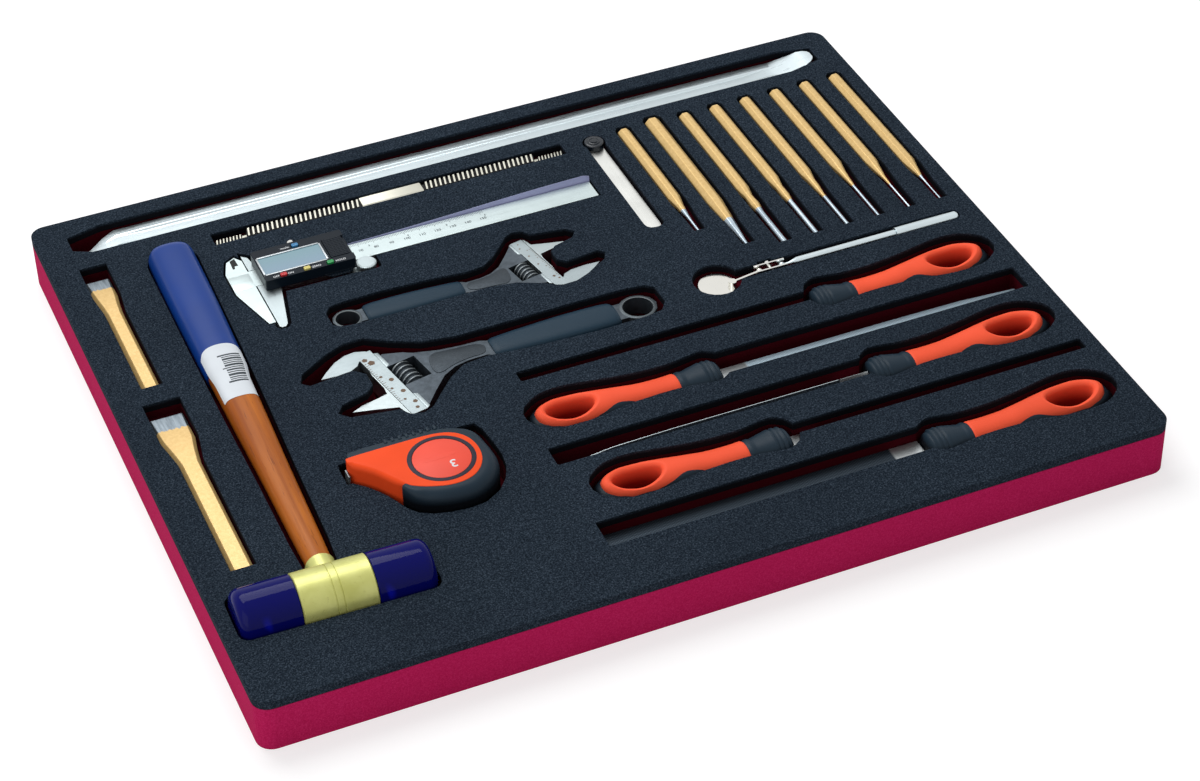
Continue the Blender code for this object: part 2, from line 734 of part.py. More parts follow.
def make_thread_file():
    left = THREAD_X - THREAD_LENGTH / 2
    block = THREAD_LENGTH * THREAD_BLOCK_SHARE
    bar = THREAD_LENGTH * THREAD_BAR_SHARE
    block_left = THREAD_X - block / 2
    high = top(THREAD_TOP)
    middle = high - THREAD_SIDE / 2
    stations = []

    def add(x, side):
        section = [(-side / 2, -side / 2), (side / 2, -side / 2), (side / 2, side / 2), (-side / 2, side / 2)]
        stations.append((x, shifted(section, THREAD_Y, middle)))

    def teeth(start, end, side, depth, count):
        pitch = (end - start) / count
        for i in range(count):
            add(start + pitch * i, side - 2 * depth)
            add(start + pitch * (i + 0.5), side)
        add(end, side - 2 * depth)

    right = left + THREAD_LENGTH
    block_right = block_left + block
    neck = THREAD_END_SIDE / 2
    bar_left = block_left - bar
    bar_right = block_right + bar
    teeth(left, bar_left - neck, THREAD_END_SIDE, THREAD_TOOTH_DEPTH * 0.7, THREAD_END_TEETH)
    add(bar_left - neck / 2, THREAD_NECK_SIDE)
    teeth(bar_left, block_left - neck / 2, THREAD_BAR_SIDE, THREAD_TOOTH_DEPTH, THREAD_TEETH)
    add(block_left, THREAD_SIDE)
    add(block_right, THREAD_SIDE)
    teeth(block_right + neck / 2, bar_right, THREAD_BAR_SIDE, THREAD_TOOTH_DEPTH, THREAD_TEETH)
    add(bar_right + neck / 2, THREAD_NECK_SIDE)
    teeth(bar_right + neck, right, THREAD_END_SIDE, THREAD_TOOTH_DEPTH * 0.7, THREAD_END_TEETH)
    loft("thread_file", rings_along_x(stations), "polished_steel", smooth=False)
    half = THREAD_SIDE / 2 + TIGHT_GAP / 2
    outline = rounded_box(left - TIGHT_GAP, THREAD_Y - half, right + TIGHT_GAP, THREAD_Y + half, TIGHT_GAP)
    pocket("thread", outline, THREAD_TOP - THREAD_SIDE - SEAT_GAP)


# Digital caliper

BEAM_FRONT = BEAM_Y - BEAM_WIDTH / 2
BEAM_BACK = BEAM_Y + BEAM_WIDTH / 2
BEAM_LOW = BEAM_TOP - BEAM_THICK
JAW_FACE = BEAM_LEFT + JAW_ROOT_WIDTH
SLIDER_LEFT = JAW_FACE + 2 * FIT_GAP
HOUSING_RIGHT = HOUSING_LEFT + HOUSING_LENGTH
HOUSING_FRONT = BEAM_Y - HOUSING_DEPTH / 2
HOUSING_BACK = BEAM_Y + HOUSING_DEPTH / 2
HOUSING_LOW = BEAM_TOP + FIT_GAP
SLIDER_LOW = BEAM_LOW - FIT_GAP - SLIDER_BACK
WHEEL_X = HOUSING_RIGHT + WHEEL_OUT
WHEEL_Y = BEAM_FRONT - FIT_GAP - WHEEL_RADIUS


def fixed_jaw_outline():
    """Beam with the fixed outside jaw in front and the inside jaw behind."""
    narrow = BEAM_LEFT + JAW_ROOT_WIDTH - JAW_TIP_WIDTH
    step = BEAM_WIDTH / 4
    return [
        (BEAM_RIGHT, BEAM_FRONT), (BEAM_RIGHT, BEAM_BACK), (JAW_FACE, BEAM_BACK),
        (JAW_FACE, BEAM_BACK + INNER_JAW_REACH * 0.7), (narrow, BEAM_BACK + INNER_JAW_REACH),
        (BEAM_LEFT + step, BEAM_BACK + INNER_JAW_REACH * 0.8), (BEAM_LEFT, BEAM_BACK + step / 2),
        (BEAM_LEFT, BEAM_FRONT - step), (narrow - JAW_TIP_WIDTH / 6, BEAM_FRONT - JAW_REACH * 0.86),
        (JAW_FACE, BEAM_FRONT - JAW_REACH * 0.86), (JAW_FACE, BEAM_FRONT),
    ]


def moving_jaw_outline():
    tip = SLIDER_LEFT + JAW_TIP_WIDTH
    root = SLIDER_LEFT + SLIDER_JAW_WIDTH
    return [
        (SLIDER_LEFT, BEAM_FRONT - FIT_GAP), (SLIDER_LEFT, BEAM_FRONT - JAW_REACH + JAW_TIP_WIDTH / 3),
        (SLIDER_LEFT + JAW_TIP_WIDTH / 3, BEAM_FRONT - JAW_REACH), (tip, BEAM_FRONT - JAW_REACH),
        (tip + JAW_TIP_WIDTH / 2, BEAM_FRONT - JAW_REACH * 0.95), (root, BEAM_FRONT - SLIDER_WALL * 3),
        (root, BEAM_FRONT - FIT_GAP),
    ]


def inner_jaw_outline():
    start = BEAM_BACK + FIT_GAP
    return [
        (SLIDER_LEFT, start), (SLIDER_LEFT + JAW_TIP_WIDTH * 1.6, start),
        (SLIDER_LEFT + JAW_TIP_WIDTH, BEAM_BACK + INNER_JAW_REACH * 0.8),
        (SLIDER_LEFT, BEAM_BACK + INNER_JAW_REACH),
    ]


def button_places():
    """Centre of each button on the housing's top face."""
    front = HOUSING_FRONT + BUTTON_FRONT
    places = {}
    for i, name in enumerate(("power", "zero", "hold")):
        places[name] = (HOUSING_LEFT + BUTTON_FIRST + BUTTON_PITCH * i, front)
    places["unit"] = (HOUSING_LEFT + UNIT_BUTTON_X, HOUSING_BACK - UNIT_BUTTON_BACK)
    return places


BUTTON_MATERIALS = {
    "power": "red_plastic",
    "zero": "yellow_plastic",
    "hold": "green_plastic",
    "unit": "light_blue_plastic",
}


def button_outline(x, y, gap):
    length = BUTTON_LENGTH / 2 + gap
    depth = BUTTON_DEPTH / 2 + gap
    return rounded_box(x - length, y - depth, x + length, y + depth, BUTTON_DEPTH / 4, 2)


def make_caliper_slider():
    low = top(SLIDER_LOW)
    wall_front = BEAM_FRONT - FIT_GAP - SLIDER_WALL
    wall_back = BEAM_BACK + FIT_GAP + SLIDER_WALL
    high = top(HOUSING_LOW - FIT_GAP)
    right = HOUSING_RIGHT - SLIDER_WALL
    slider = box("caliper_slider", (SLIDER_LEFT, wall_front, low), (right, wall_back, high), "polished_steel")
    channel = box(
        "slider_channel",
        (SLIDER_LEFT - CUT_OVERRUN, BEAM_FRONT - FIT_GAP, top(BEAM_LOW - FIT_GAP)),
        (right + CUT_OVERRUN, BEAM_BACK + FIT_GAP, high + CUT_OVERRUN),
        None,
    )
    jaw = prism("moving_jaw", [moving_jaw_outline()], top(BEAM_LOW), high, None)
    inner = prism(
        "moving_inner_jaw", [inner_jaw_outline()], top(BEAM_LOW), top(BEAM_TOP - FIT_GAP), None
    )
    lug = box(
        "wheel_lug",
        (right - SLIDER_WALL, WHEEL_Y - WHEEL_RADIUS / 2, low),
        (WHEEL_X + WHEEL_RADIUS / 2, BEAM_FRONT - FIT_GAP, top(WHEEL_TOP - WHEEL_THICK - FIT_GAP)),
        None,
    )
    pin_radius = WHEEL_RADIUS / 5
    pin_low = SLIDER_LOW + SLIDER_BACK / 2
    pin = turned(
        "wheel_pin",
        [(0, WHEEL_TOP - pin_low), (pin_radius, WHEEL_TOP - pin_low), (pin_radius, 0), (0, 0)],
        12, upright(WHEEL_X, WHEEL_Y, top(pin_low)), None,
    )
    cut(slider, channel)
    join(slider, jaw, inner, lug, pin)
    settle(slider)


def make_caliper_housing():
    low = top(HOUSING_LOW)
    high = top(HOUSING_TOP)
    outline = rounded_box(HOUSING_LEFT, HOUSING_FRONT, HOUSING_RIGHT, HOUSING_BACK, HOUSING_CORNER)
    housing = prism("caliper_housing", [outline], low, high, "black_plastic")
    rest_right = HOUSING_RIGHT - HOUSING_WALL
    rest_left = rest_right - THUMB_REST_LENGTH
    ramp = THUMB_REST_REACH * 1.2
    rest = prism(
        "thumb_rest",
        [[
            (rest_left, HOUSING_FRONT + HOUSING_WALL), (rest_left, HOUSING_FRONT),
            (rest_left + ramp, HOUSING_FRONT - THUMB_REST_REACH),
            (rest_right - ramp, HOUSING_FRONT - THUMB_REST_REACH),
            (rest_right, HOUSING_FRONT), (rest_right, HOUSING_FRONT + HOUSING_WALL),
        ]],
        low, top(THUMB_REST_TOP), None,
    )
    join(housing, rest)
    lcd_left = HOUSING_LEFT + LCD_INSET
    lcd_front = HOUSING_FRONT + LCD_FRONT
    window = box(
        "lcd_window",
        (lcd_left, lcd_front, high - LCD_THICK - 2 * FIT_GAP),
        (lcd_left + LCD_LENGTH, lcd_front + LCD_DEPTH, high + CUT_OVERRUN),
        None,
    )
    cover_left = lcd_left + LCD_LENGTH + COVER_GAP
    tray = box(
        "cover_tray",
        (cover_left, lcd_front, high - COVER_THICK - FIT_GAP),
        (HOUSING_RIGHT + CUT_OVERRUN, lcd_front + COVER_DEPTH, high + CUT_OVERRUN),
        None,
    )
    cut(housing, window, tray)
    for name, (x, y) in button_places().items():
        well = prism(
            name + "_well", [button_outline(x, y, FIT_GAP)], high - BUTTON_SEAT - BUTTON_PROUD,
            high + CUT_OVERRUN, None
        )
        cut(housing, well)
        prism(
            f"caliper_{name}_button",
            [button_outline(x, y, 0)],
            high - BUTTON_SEAT,
            high + BUTTON_PROUD,
            BUTTON_MATERIALS[name],
        )
    lock_x = HOUSING_LEFT + LOCK_X
    lock_z = high - LOCK_DROP
    stem = LOCK_RADIUS / 2
    hole = turned(
        "lock_hole",
        [(0, 0), (stem + FIT_GAP, 0), (stem + FIT_GAP, -LOCK_LENGTH), (0, -LOCK_LENGTH)],
        12, along_y(lock_x, HOUSING_BACK + FIT_GAP, lock_z), None,
    )
    cut(housing, hole)
    turned(
        "caliper_lock_screw",
        [
            (0, LOCK_LENGTH + FIT_GAP), (LOCK_RADIUS, LOCK_LENGTH + FIT_GAP), (LOCK_RADIUS, FIT_GAP),
            (stem, FIT_GAP), (stem, -LOCK_LENGTH * 0.7), (0, -LOCK_LENGTH * 0.7),
        ],
        12, along_y(lock_x, HOUSING_BACK, lock_z), "polished_steel",
    )
    settle(housing)
    box(
        "caliper_display",
        (lcd_left + FIT_GAP, lcd_front + FIT_GAP, high - LCD_THICK - FIT_GAP),
        (lcd_left + LCD_LENGTH - FIT_GAP, lcd_front + LCD_DEPTH - FIT_GAP, high - FIT_GAP),
        "display_glass",
    )
    box(
        "caliper_battery_cover",
        (cover_left + FIT_GAP, lcd_front + FIT_GAP, high - COVER_THICK),
        (cover_left + COVER_LENGTH - FIT_GAP, lcd_front + COVER_DEPTH - FIT_GAP, high + FIT_GAP),
        "black_plastic",
    )


def make_caliper():
    prism("caliper_beam", [fixed_jaw_outline()], top(BEAM_LOW), top(BEAM_TOP), "polished_steel")
    make_caliper_slider()
    make_caliper_housing()
    bore = WHEEL_RADIUS / 5 + FIT_GAP
    turned(
        "caliper_thumb_wheel",
        [(bore, 0), (WHEEL_RADIUS, 0), (WHEEL_RADIUS, -WHEEL_THICK), (bore, -WHEEL_THICK), (bore, 0)],
        20, upright(WHEEL_X, WHEEL_Y, top(WHEEL_TOP)), "polished_steel",
    )
    pocket("beam", widened(fixed_jaw_outline(), TIGHT_GAP), BEAM_LOW - SEAT_GAP)
    pocket("moving_jaw", widened(moving_jaw_outline(), TIGHT_GAP + SLIDER_PLAY), BEAM_LOW - SEAT_GAP)
    pocket("inner_jaw", widened(inner_jaw_outline(), TIGHT_GAP + SLIDER_PLAY), BEAM_LOW - SEAT_GAP)
    gap = TIGHT_GAP + SLIDER_PLAY
    lock_front = HOUSING_BACK + LOCK_LENGTH + 2 * FIT_GAP
    lock_x = HOUSING_LEFT + LOCK_X
    pocket(
        "housing",
        rounded_box(
            SLIDER_LEFT - TIGHT_GAP, HOUSING_FRONT - THUMB_REST_REACH - TIGHT_GAP, HOUSING_RIGHT + gap,
            HOUSING_BACK + TIGHT_GAP, HOUSING_CORNER,
        ),
        SLIDER_LOW - SEAT_GAP,
    )
    pocket("lock", rounded_box(
        lock_x - LOCK_RADIUS - gap, HOUSING_BACK - TIGHT_GAP, lock_x + LOCK_RADIUS + gap,
        lock_front + TIGHT_GAP, LOCK_RADIUS / 2,
    ), BEAM_LOW - SEAT_GAP)
    pocket("wheel", rounded_box(
        HOUSING_RIGHT - gap, WHEEL_Y - WHEEL_RADIUS - TIGHT_GAP, WHEEL_X + WHEEL_RADIUS + gap,
        BEAM_FRONT + TIGHT_GAP, WHEEL_RADIUS / 2,
    ), SLIDER_LOW - SEAT_GAP)


# Adjustable wrenches


def local_box(name, centre, direction, length, width, low, high, place):
    """A box in a wrench's plane, its length along direction."""
    a = Vector(direction).normalized()
    b = Vector((-a.y, a.x))
    middle = Vector(centre)
    corners = [
        middle - a * length / 2 - b * width / 2, middle + a * length / 2 - b * width / 2,
        middle + a * length / 2 + b * width / 2, middle - a * length / 2 + b * width / 2,
    ]
    return prism(name, [place([tuple(c) for c in corners])], low, high, None)


def hook_outline(length, reach_share):
    """The jaw's hook, with what lies past its root drawn in to a share of its reach."""
    return [
        (length * (min(u, HOOK_ROOT_SHARE) + max(u - HOOK_ROOT_SHARE, 0) * reach_share), length * v)
        for u, v in JAW_HOOK_SHARES
    ]


def make_wrench(prefix, length, x, y, turn, mid, hook_reach_share):
    def place(points):
        return moved(points, x, y, turn)

    def size(share):
        return share * length

    middle = top(mid)
    half = size(HEAD_THICK_SHARE) / 2
    heel = Vector(JAW_HEEL_SHARES) * length
    toe = Vector(JAW_TOE_SHARES) * length
    slide = (toe - heel).normalized()
    bar_width = size(JAW_BAR_WIDTH_SHARE)
    body = prism(
        prefix + "_body", [place(scaled(BODY_OUTLINE_SHARES, length, length))], middle - half, middle + half,
        "dark_steel",
    )
    hole = prism(
        prefix + "_hang_hole",
        [place(circle(size(HOLE_PLACE_SHARE), 0, size(HOLE_SHARE), 24))],
        middle - half - CUT_OVERRUN, middle + half + CUT_OVERRUN, None,
    )
    across = Vector((-slide.y, slide.x))
    channel_centre = (heel + toe) / 2
    channel = local_box(
        prefix + "_channel", channel_centre, slide, (toe - heel).length * 2, bar_width + 2 * FIT_GAP,
        middle, middle + half + CUT_OVERRUN, place,
    )
    worm_centre = Vector(WORM_PLACE_SHARES) * length
    window = local_box(
        prefix + "_window", worm_centre, slide, size(WORM_WINDOW_SHARES[0]), size(WORM_WINDOW_SHARES[1]),
        middle - half - CUT_OVERRUN, middle + half + CUT_OVERRUN, place,
    )
    turn_in_plane = math.degrees(math.atan2(slide.y, slide.x)) + turn
    (world_x, world_y), = place([tuple(worm_centre)])
    axis_place = (
        Matrix.Translation((world_x, world_y, middle))
        @ Matrix.Rotation(math.radians(turn_in_plane), 4, "Z")
        @ Matrix.Rotation(math.radians(90), 4, "Y")
    )
    worm_radius = size(WORM_RADIUS_SHARE)
    worm_half = size(WORM_LENGTH_SHARE) / 2
    pin_radius = size(WORM_PIN_SHARE)
    pin_half = worm_half * 1.5
    pin = turned(
        prefix + "_worm_pin",
        [(0, pin_half), (pin_radius, pin_half), (pin_radius, -pin_half), (0, -pin_half)],
        10, axis_place, None,
    )
    cut(body, hole, channel, window)
    join(body, pin)
    settle(body)
    bore_radius = pin_radius + FIT_GAP
    profile = [(bore_radius, worm_half), (worm_radius * 0.8, worm_half)]
    ridges = 4
    pitch = 2 * worm_half / ridges
    for i in range(ridges):
        start = worm_half - pitch * i
        profile += [
            (worm_radius, start - pitch * 0.25), (worm_radius, start - pitch * 0.6),
            (worm_radius * 0.8, start - pitch * 0.85),
        ]
    profile += [(worm_radius * 0.8, -worm_half), (bore_radius, -worm_half), (bore_radius, worm_half)]
    turned(prefix + "_worm", profile, 12, axis_place, "dark_steel")
    jaw_low = middle - half + FIT_GAP
    jaw = prism(
        prefix + "_jaw", [place(hook_outline(length, hook_reach_share))], jaw_low, middle + half,
        "polished_steel"
    )
    bar_end = toe + slide * bar_width / 2
    bar = local_box(
        prefix + "_bar", (heel + bar_end) / 2, slide, (bar_end - heel).length, bar_width,
        middle + FIT_GAP, middle + half, place,
    )
    join(jaw, bar)
    settle(jaw)
    shank = size(0.068) / 2 + FIT_GAP
    rings = []
    start = size(GRIP_START_SHARE)
    end = size(GRIP_END_SHARE)
    for along, wide in (
        (0, 0.84), (0.03, 0.92), (0.12, 0.98), (0.35, 1.0), (0.7, 0.92), (0.97, 0.8), (1, 0.74),
    ):
        section = oval(
            size(GRIP_WIDTH_SHARE) / 2 * wide, size(GRIP_THICK_SHARE) / 2 * (0.4 + 0.6 * wide), 16, 2.6
        )
        u = start + (end - start) * along
        flat = place([(u, v) for v, _ in section])
        rings.append([(px, py, middle + w) for (px, py), (_, w) in zip(flat, section)])
    grip = loft(prefix + "_grip", rings, "black_rubber")
    slot_start = start - CUT_OVERRUN
    slot_end = end + CUT_OVERRUN
    slot_outline = [(slot_start, -shank), (slot_end, -shank), (slot_end, shank), (slot_start, shank)]
    slot = prism(
        prefix + "_grip_slot", [place(slot_outline)], middle - half - FIT_GAP, middle + half + FIT_GAP, None
    )
    cut(grip, slot)
    settle(grip)
    outline = scaled(WRENCH_POCKET_SHARES, length, length)
    floor = mid - size(GRIP_THICK_SHARE) / 2 - SEAT_GAP
    pocket(prefix, place(outline), floor)


# Tape measure

TAPE_BUMPER_SHARES = (
    (0.020, 0.958), (0.020, 0.900), (0.300, 0.800), (0.340, 0.300), (0.262, 0.300), (0.300, 0.170),
    (0.350, 0.085), (0.440, 0.015), (0.550, -0.030), (0.680, -0.052), (0.800, -0.036), (0.920, 0.060),
    (1.000, 0.190), (1.036, 0.330), (1.034, 0.480), (1.020, 0.640), (0.995, 0.740), (0.945, 0.815),
    (0.860, 0.872), (0.740, 0.925), (0.600, 0.955), (0.400, 0.958),
)
TAPE_ORANGE_SHARES = (
    (0.012, 0.868), (0.000, 0.845), (0.000, 0.785), (0.040, 0.722), (0.105, 0.640), (0.172, 0.530),
    (0.220, 0.420), (0.270, 0.320), (0.330, 0.240), (0.440, 0.155), (0.620, 0.078), (0.790, 0.115),
    (0.900, 0.270), (0.938, 0.480), (0.905, 0.690), (0.810, 0.820), (0.660, 0.872), (0.340, 0.872),
)
TAPE_POCKET_SHARES = (
    (-0.012, 0.985), (-0.014, 0.770), (0.022, 0.700), (0.090, 0.612), (0.155, 0.500), (0.203, 0.395),
    (0.245, 0.275), (0.285, 0.150), (0.338, 0.055), (0.430, -0.018), (0.545, -0.060), (0.680, -0.082),
    (0.810, -0.064), (0.935, 0.035), (1.020, 0.170), (1.072, 0.330), (1.092, 0.500), (1.084, 0.700),
    (1.066, 0.930), (1.035, 1.030), (0.920, 1.040), (0.800, 0.998),
)


def make_tape():
    low = top(TAPE_TOP - TAPE_HEIGHT)
    high = top(TAPE_TOP)

    def place(shares):
        return moved(scaled(shares, TAPE_LENGTH, TAPE_DEPTH), TAPE_X, TAPE_Y)

    case_outline = place(TAPE_ORANGE_SHARES)
    bumper_outline = place(TAPE_BUMPER_SHARES)
    case = prism("tape_case", [case_outline], low, high, "orange_plastic")
    (disc_x, disc_y), = place([TAPE_DISC_SHARES])
    seat = prism(
        "tape_disc_seat", [circle(disc_x, disc_y, TAPE_DISC_RADIUS + FIT_GAP, 36)],
        high - TAPE_DISC_THICK - FIT_GAP, high + CUT_OVERRUN, None,
    )
    (_, mouth_y), = place([TAPE_MOUTH_SHARES])
    mouth_z = high - TAPE_MOUTH_DROP - TAPE_BLADE_WIDTH / 2
    blade_end = TAPE_X + TAPE_BUTTON_LENGTH
    slot = box(
        "tape_mouth",
        (TAPE_X - CUT_OVERRUN, mouth_y - TAPE_BLADE_THICK / 2 - FIT_GAP,
         mouth_z - TAPE_BLADE_WIDTH / 2 - FIT_GAP),
        (blade_end + 2 * FIT_GAP, mouth_y + TAPE_BLADE_THICK / 2 + FIT_GAP,
         mouth_z + TAPE_BLADE_WIDTH / 2 + FIT_GAP),
        None,
    )
    cut(case, seat, slot)
    settle(case)
    bumper = prism("tape_bumper", [bumper_outline], low, high - FIT_GAP, "black_rubber")
    core = prism("tape_core", [widened(case_outline, FIT_GAP)], low - CUT_OVERRUN, high + CUT_OVERRUN, None)
    back = TAPE_Y + TAPE_DEPTH * TAPE_BUMPER_SHARES[0][1]
    button_left = TAPE_X + TAPE_LENGTH * 0.04
    button_z = high - TAPE_BUTTON_HEIGHT / 2 - TAPE_EDGE
    track = box(
        "tape_button_track",
        (button_left - FIT_GAP, back - TAPE_BUTTON_SINK - FIT_GAP,
         button_z - TAPE_BUTTON_HEIGHT / 2 - FIT_GAP),
        (button_left + TAPE_BUTTON_SLOT, back + CUT_OVERRUN, button_z + TAPE_BUTTON_HEIGHT / 2 + FIT_GAP),
        None,
    )
    cut(bumper, core, track)
    settle(bumper)
    box(
        "tape_lock_button",
        (button_left, back - TAPE_BUTTON_SINK, button_z - TAPE_BUTTON_HEIGHT / 2),
        (button_left + TAPE_BUTTON_LENGTH, back - TAPE_BUTTON_SINK + TAPE_BUTTON_DEPTH,
         button_z + TAPE_BUTTON_HEIGHT / 2),
        "black_plastic",
    )
    prism(
        "tape_medallion", [circle(disc_x, disc_y, TAPE_DISC_RADIUS, 36)], high - TAPE_DISC_THICK, high,
        "orange_plastic",
    )
    hook_right = TAPE_X - FIT_GAP
    blade = box(
        "tape_blade",
        (hook_right - TAPE_HOOK_THICK / 2, mouth_y - TAPE_BLADE_THICK / 2, mouth_z - TAPE_BLADE_WIDTH / 2),
        (blade_end, mouth_y + TAPE_BLADE_THICK / 2, mouth_z + TAPE_BLADE_WIDTH / 2),
        "polished_steel",
    )
    hook = box(
        "tape_hook",
        (hook_right - TAPE_HOOK_THICK, mouth_y - TAPE_HOOK_DEPTH, mouth_z - TAPE_HOOK_HEIGHT / 2),
        (hook_right, mouth_y + TAPE_BLADE_THICK, mouth_z + TAPE_HOOK_HEIGHT / 2),
        None,
    )
    join(blade, hook)
    settle(blade)
    floor = TAPE_TOP - TAPE_HEIGHT - SEAT_GAP
    pocket("tape", widened(place(TAPE_POCKET_SHARES), TIGHT_GAP), floor)
    pocket(
        "tape_hook",
        rounded_box(
            hook_right - TAPE_HOOK_THICK - TAPE_HOOK_PLAY - TIGHT_GAP / 2,
            mouth_y - TAPE_HOOK_DEPTH - TIGHT_GAP,
            TAPE_X + TIGHT_GAP, back, TIGHT_GAP / 2,
        ),
        floor,
    )
    button_back = back - TAPE_BUTTON_SINK + TAPE_BUTTON_DEPTH
    pocket(
        "tape_button",
        rounded_box(
            TAPE_X, back - TAPE_BUTTON_SINK, button_left + TAPE_BUTTON_SLOT + TIGHT_GAP,
            button_back + TIGHT_GAP, TIGHT_GAP,
        ),
        floor,
    )


# Mallet

HANDLE_SHARES = (
    # along from the socket, width, squareness
    (0.00, 0.58, 2.0), (0.06, 0.61, 2.2), (0.25, 0.69, 2.5), (0.45, 0.82, 2.7), (0.65, 0.92, 2.8),
    (0.90, 1.00, 2.8), (1.00, 1.00, 2.8),
)
BUTT_ROUND_SHARES = (0.0, 0.45, 0.75, 0.92, 1.0)


def handle_shape(along):
    """Width share and squareness at a share of the wood's length past the socket."""
    for (a0, w0, s0), (a1, w1, s1) in zip(HANDLE_SHARES, HANDLE_SHARES[1:]):
        if along <= a1:
            t = max(0, along - a0) / (a1 - a0)
            return w0 + (w1 - w0) * t, s0 + (s1 - s0) * t
    return HANDLE_SHARES[-1][1:]


def handle_rings(places, start, length, coat, end_stretch=0):
    """Sections of the handle, coat thicker than the wood, at shares of its length, with a rounded butt."""
    rings = []
    turn = HANDLE_BUTT_WIDTH / 3
    for along in places:
        share, square = handle_shape(along)
        half = HANDLE_BUTT_WIDTH * share / 2
        section = oval(half + coat, half * HANDLE_FLATNESS_SHARE + coat, 14, square)
        rings.append((start + length * along, shifted(section, 0, top(MALLET_MID))))
    share, square = handle_shape(1)
    half = HANDLE_BUTT_WIDTH * share / 2
    for t in BUTT_ROUND_SHARES:
        fade = math.sqrt(1 - (t * 0.9) ** 2)
        section = oval((half + coat) * fade, (half * HANDLE_FLATNESS_SHARE + coat) * fade, 14, square)
        y = start + length - turn + (turn + end_stretch) * t
        rings.append((y, shifted(section, 0, top(MALLET_MID))))
    return rings


def make_mallet():
    """Made with the head's middle over the origin and the handle along +Y."""
    middle = top(MALLET_MID)
    socket_y = HEAD_RADIUS + SOCKET_REACH
    wood_end = MALLET_LENGTH - GRIP_BUTT
    wood_start = socket_y + FIT_GAP
    span = wood_end - wood_start
    wood_radius = SOCKET_RADIUS * 0.76
    stem = oval(wood_radius, wood_radius, 14)
    stations = [(-HEAD_RADIUS * 0.6, shifted(stem, 0, middle)), (wood_start, shifted(stem, 0, middle))]
    last_share = 1 - HANDLE_BUTT_WIDTH / 3 / span
    places = [0.012, 0.06, 0.25, 0.45, 0.65, 0.8]
    loft("mallet_handle", rings_along_y(stations + handle_rings(places, wood_start, span, 0)), "wood")
    grip_share = (MALLET_LENGTH - GRIP_LENGTH - wood_start) / span
    coat = FIT_GAP + GRIP_COAT
    edge = GRIP_COAT / span
    sleeve_places = [grip_share, grip_share + 2 * edge, 0.65, 0.8]
    lip = handle_rings([grip_share], wood_start, span, FIT_GAP + GRIP_COAT * 0.3)[:1]
    sleeve = lip + handle_rings(sleeve_places[1:], wood_start, span, coat, GRIP_BUTT)
    grip = loft("mallet_grip", rings_along_y(sleeve), "blue_plastic")
    hollow_places = [grip_share - 20 * edge, grip_share, 0.65, 0.8]
    hollow = loft(
        "grip_hollow",
        rings_along_y(handle_rings(hollow_places, wood_start, span, FIT_GAP, 2 * FIT_GAP)),
        None,
    )
    cut(grip, hollow)
    settle(grip)
    half_collar = COLLAR_LENGTH / 2
    head = turned(
        "mallet_head",
        [(0, half_collar), (HEAD_RADIUS, half_collar), (HEAD_RADIUS, -half_collar), (0, -half_collar)],
        28, along_x(0, 0, middle), "brass_paint",
    )
    socket = turned(
        "mallet_socket",
        [(0, socket_y), (SOCKET_RADIUS, socket_y), (SOCKET_RADIUS, 0), (0, 0)],
        16, along_y(0, 0, middle), None,
    )
    eye_low = -HEAD_RADIUS * 0.6 - FIT_GAP
    eye_radius = wood_radius + FIT_GAP
    eye_high = socket_y + CUT_OVERRUN
    eye = turned(
        "mallet_eye",
        [(0, eye_high), (eye_radius, eye_high), (eye_radius, eye_low), (0, eye_low)],
        16, along_y(0, 0, middle), None,
    )
    join(head, socket)
    cut(head, eye)
    stud = HEAD_RADIUS * 0.36
    stud_length = half_collar * 0.4
    face_length = (HEAD_LENGTH - COLLAR_LENGTH) / 2 - FIT_GAP
    bore_radius = stud + FIT_GAP
    bore_depth = stud_length + FIT_GAP
    rounding = arc(0, 0, FACE_ROUND, 90, 0, 4)
    profile = [(0, face_length)]
    profile += [(HEAD_RADIUS - FACE_ROUND + a, face_length - FACE_ROUND + b) for a, b in rounding]
    profile += [(HEAD_RADIUS, 0), (stud, 0), (stud, -stud_length), (0, -stud_length)]
    for side, name in ((1, "mallet_face_right"), (-1, "mallet_face_left")):
        outwards = Matrix.Rotation(math.radians(90 * side), 4, "Y")
        bore = turned(
            name + "_bore",
            [(0, CUT_OVERRUN), (bore_radius, CUT_OVERRUN), (bore_radius, -bore_depth), (0, -bore_depth)],
            16, Matrix.Translation((side * half_collar, 0, middle)) @ outwards, None,
        )
        cut(head, bore)
        seat = Matrix.Translation((side * (half_collar + FIT_GAP), 0, middle))
        turned(name, profile, 28, seat @ outwards, "blue_plastic")
    settle(head)
    gap = POCKET_GAP
    half_length = HEAD_LENGTH / 2 + gap
    half_width = HEAD_RADIUS + gap
    outline = rounded_box(-half_length, -half_width, half_length, half_width, FACE_ROUND)
    outline = moved(outline, MALLET_X, MALLET_HEAD_Y, MALLET_TURN)
    pocket("mallet_head", outline, MALLET_MID - HEAD_RADIUS - SEAT_GAP)
    narrow = SOCKET_RADIUS + gap
    side = [(narrow, 0), (narrow, socket_y)]
    for along in (0.06, 0.25, 0.45, 0.65, last_share):
        share, _ = handle_shape(along)
        side.append((HANDLE_BUTT_WIDTH * share / 2 + coat + gap, wood_start + span * along))
    widest = side[-1][0]
    side.append((widest * 0.8, MALLET_LENGTH - gap))
    side.append((widest * 0.5, MALLET_LENGTH + gap))
    outline = side + [(-a, b) for a, b in side[::-1]]
    pocket(
        "mallet_handle", moved(outline, MALLET_X, MALLET_HEAD_Y, MALLET_TURN),
        MALLET_MID - HANDLE_BUTT_WIDTH / 2 * HANDLE_FLATNESS_SHARE - coat - SEAT_GAP,
    )


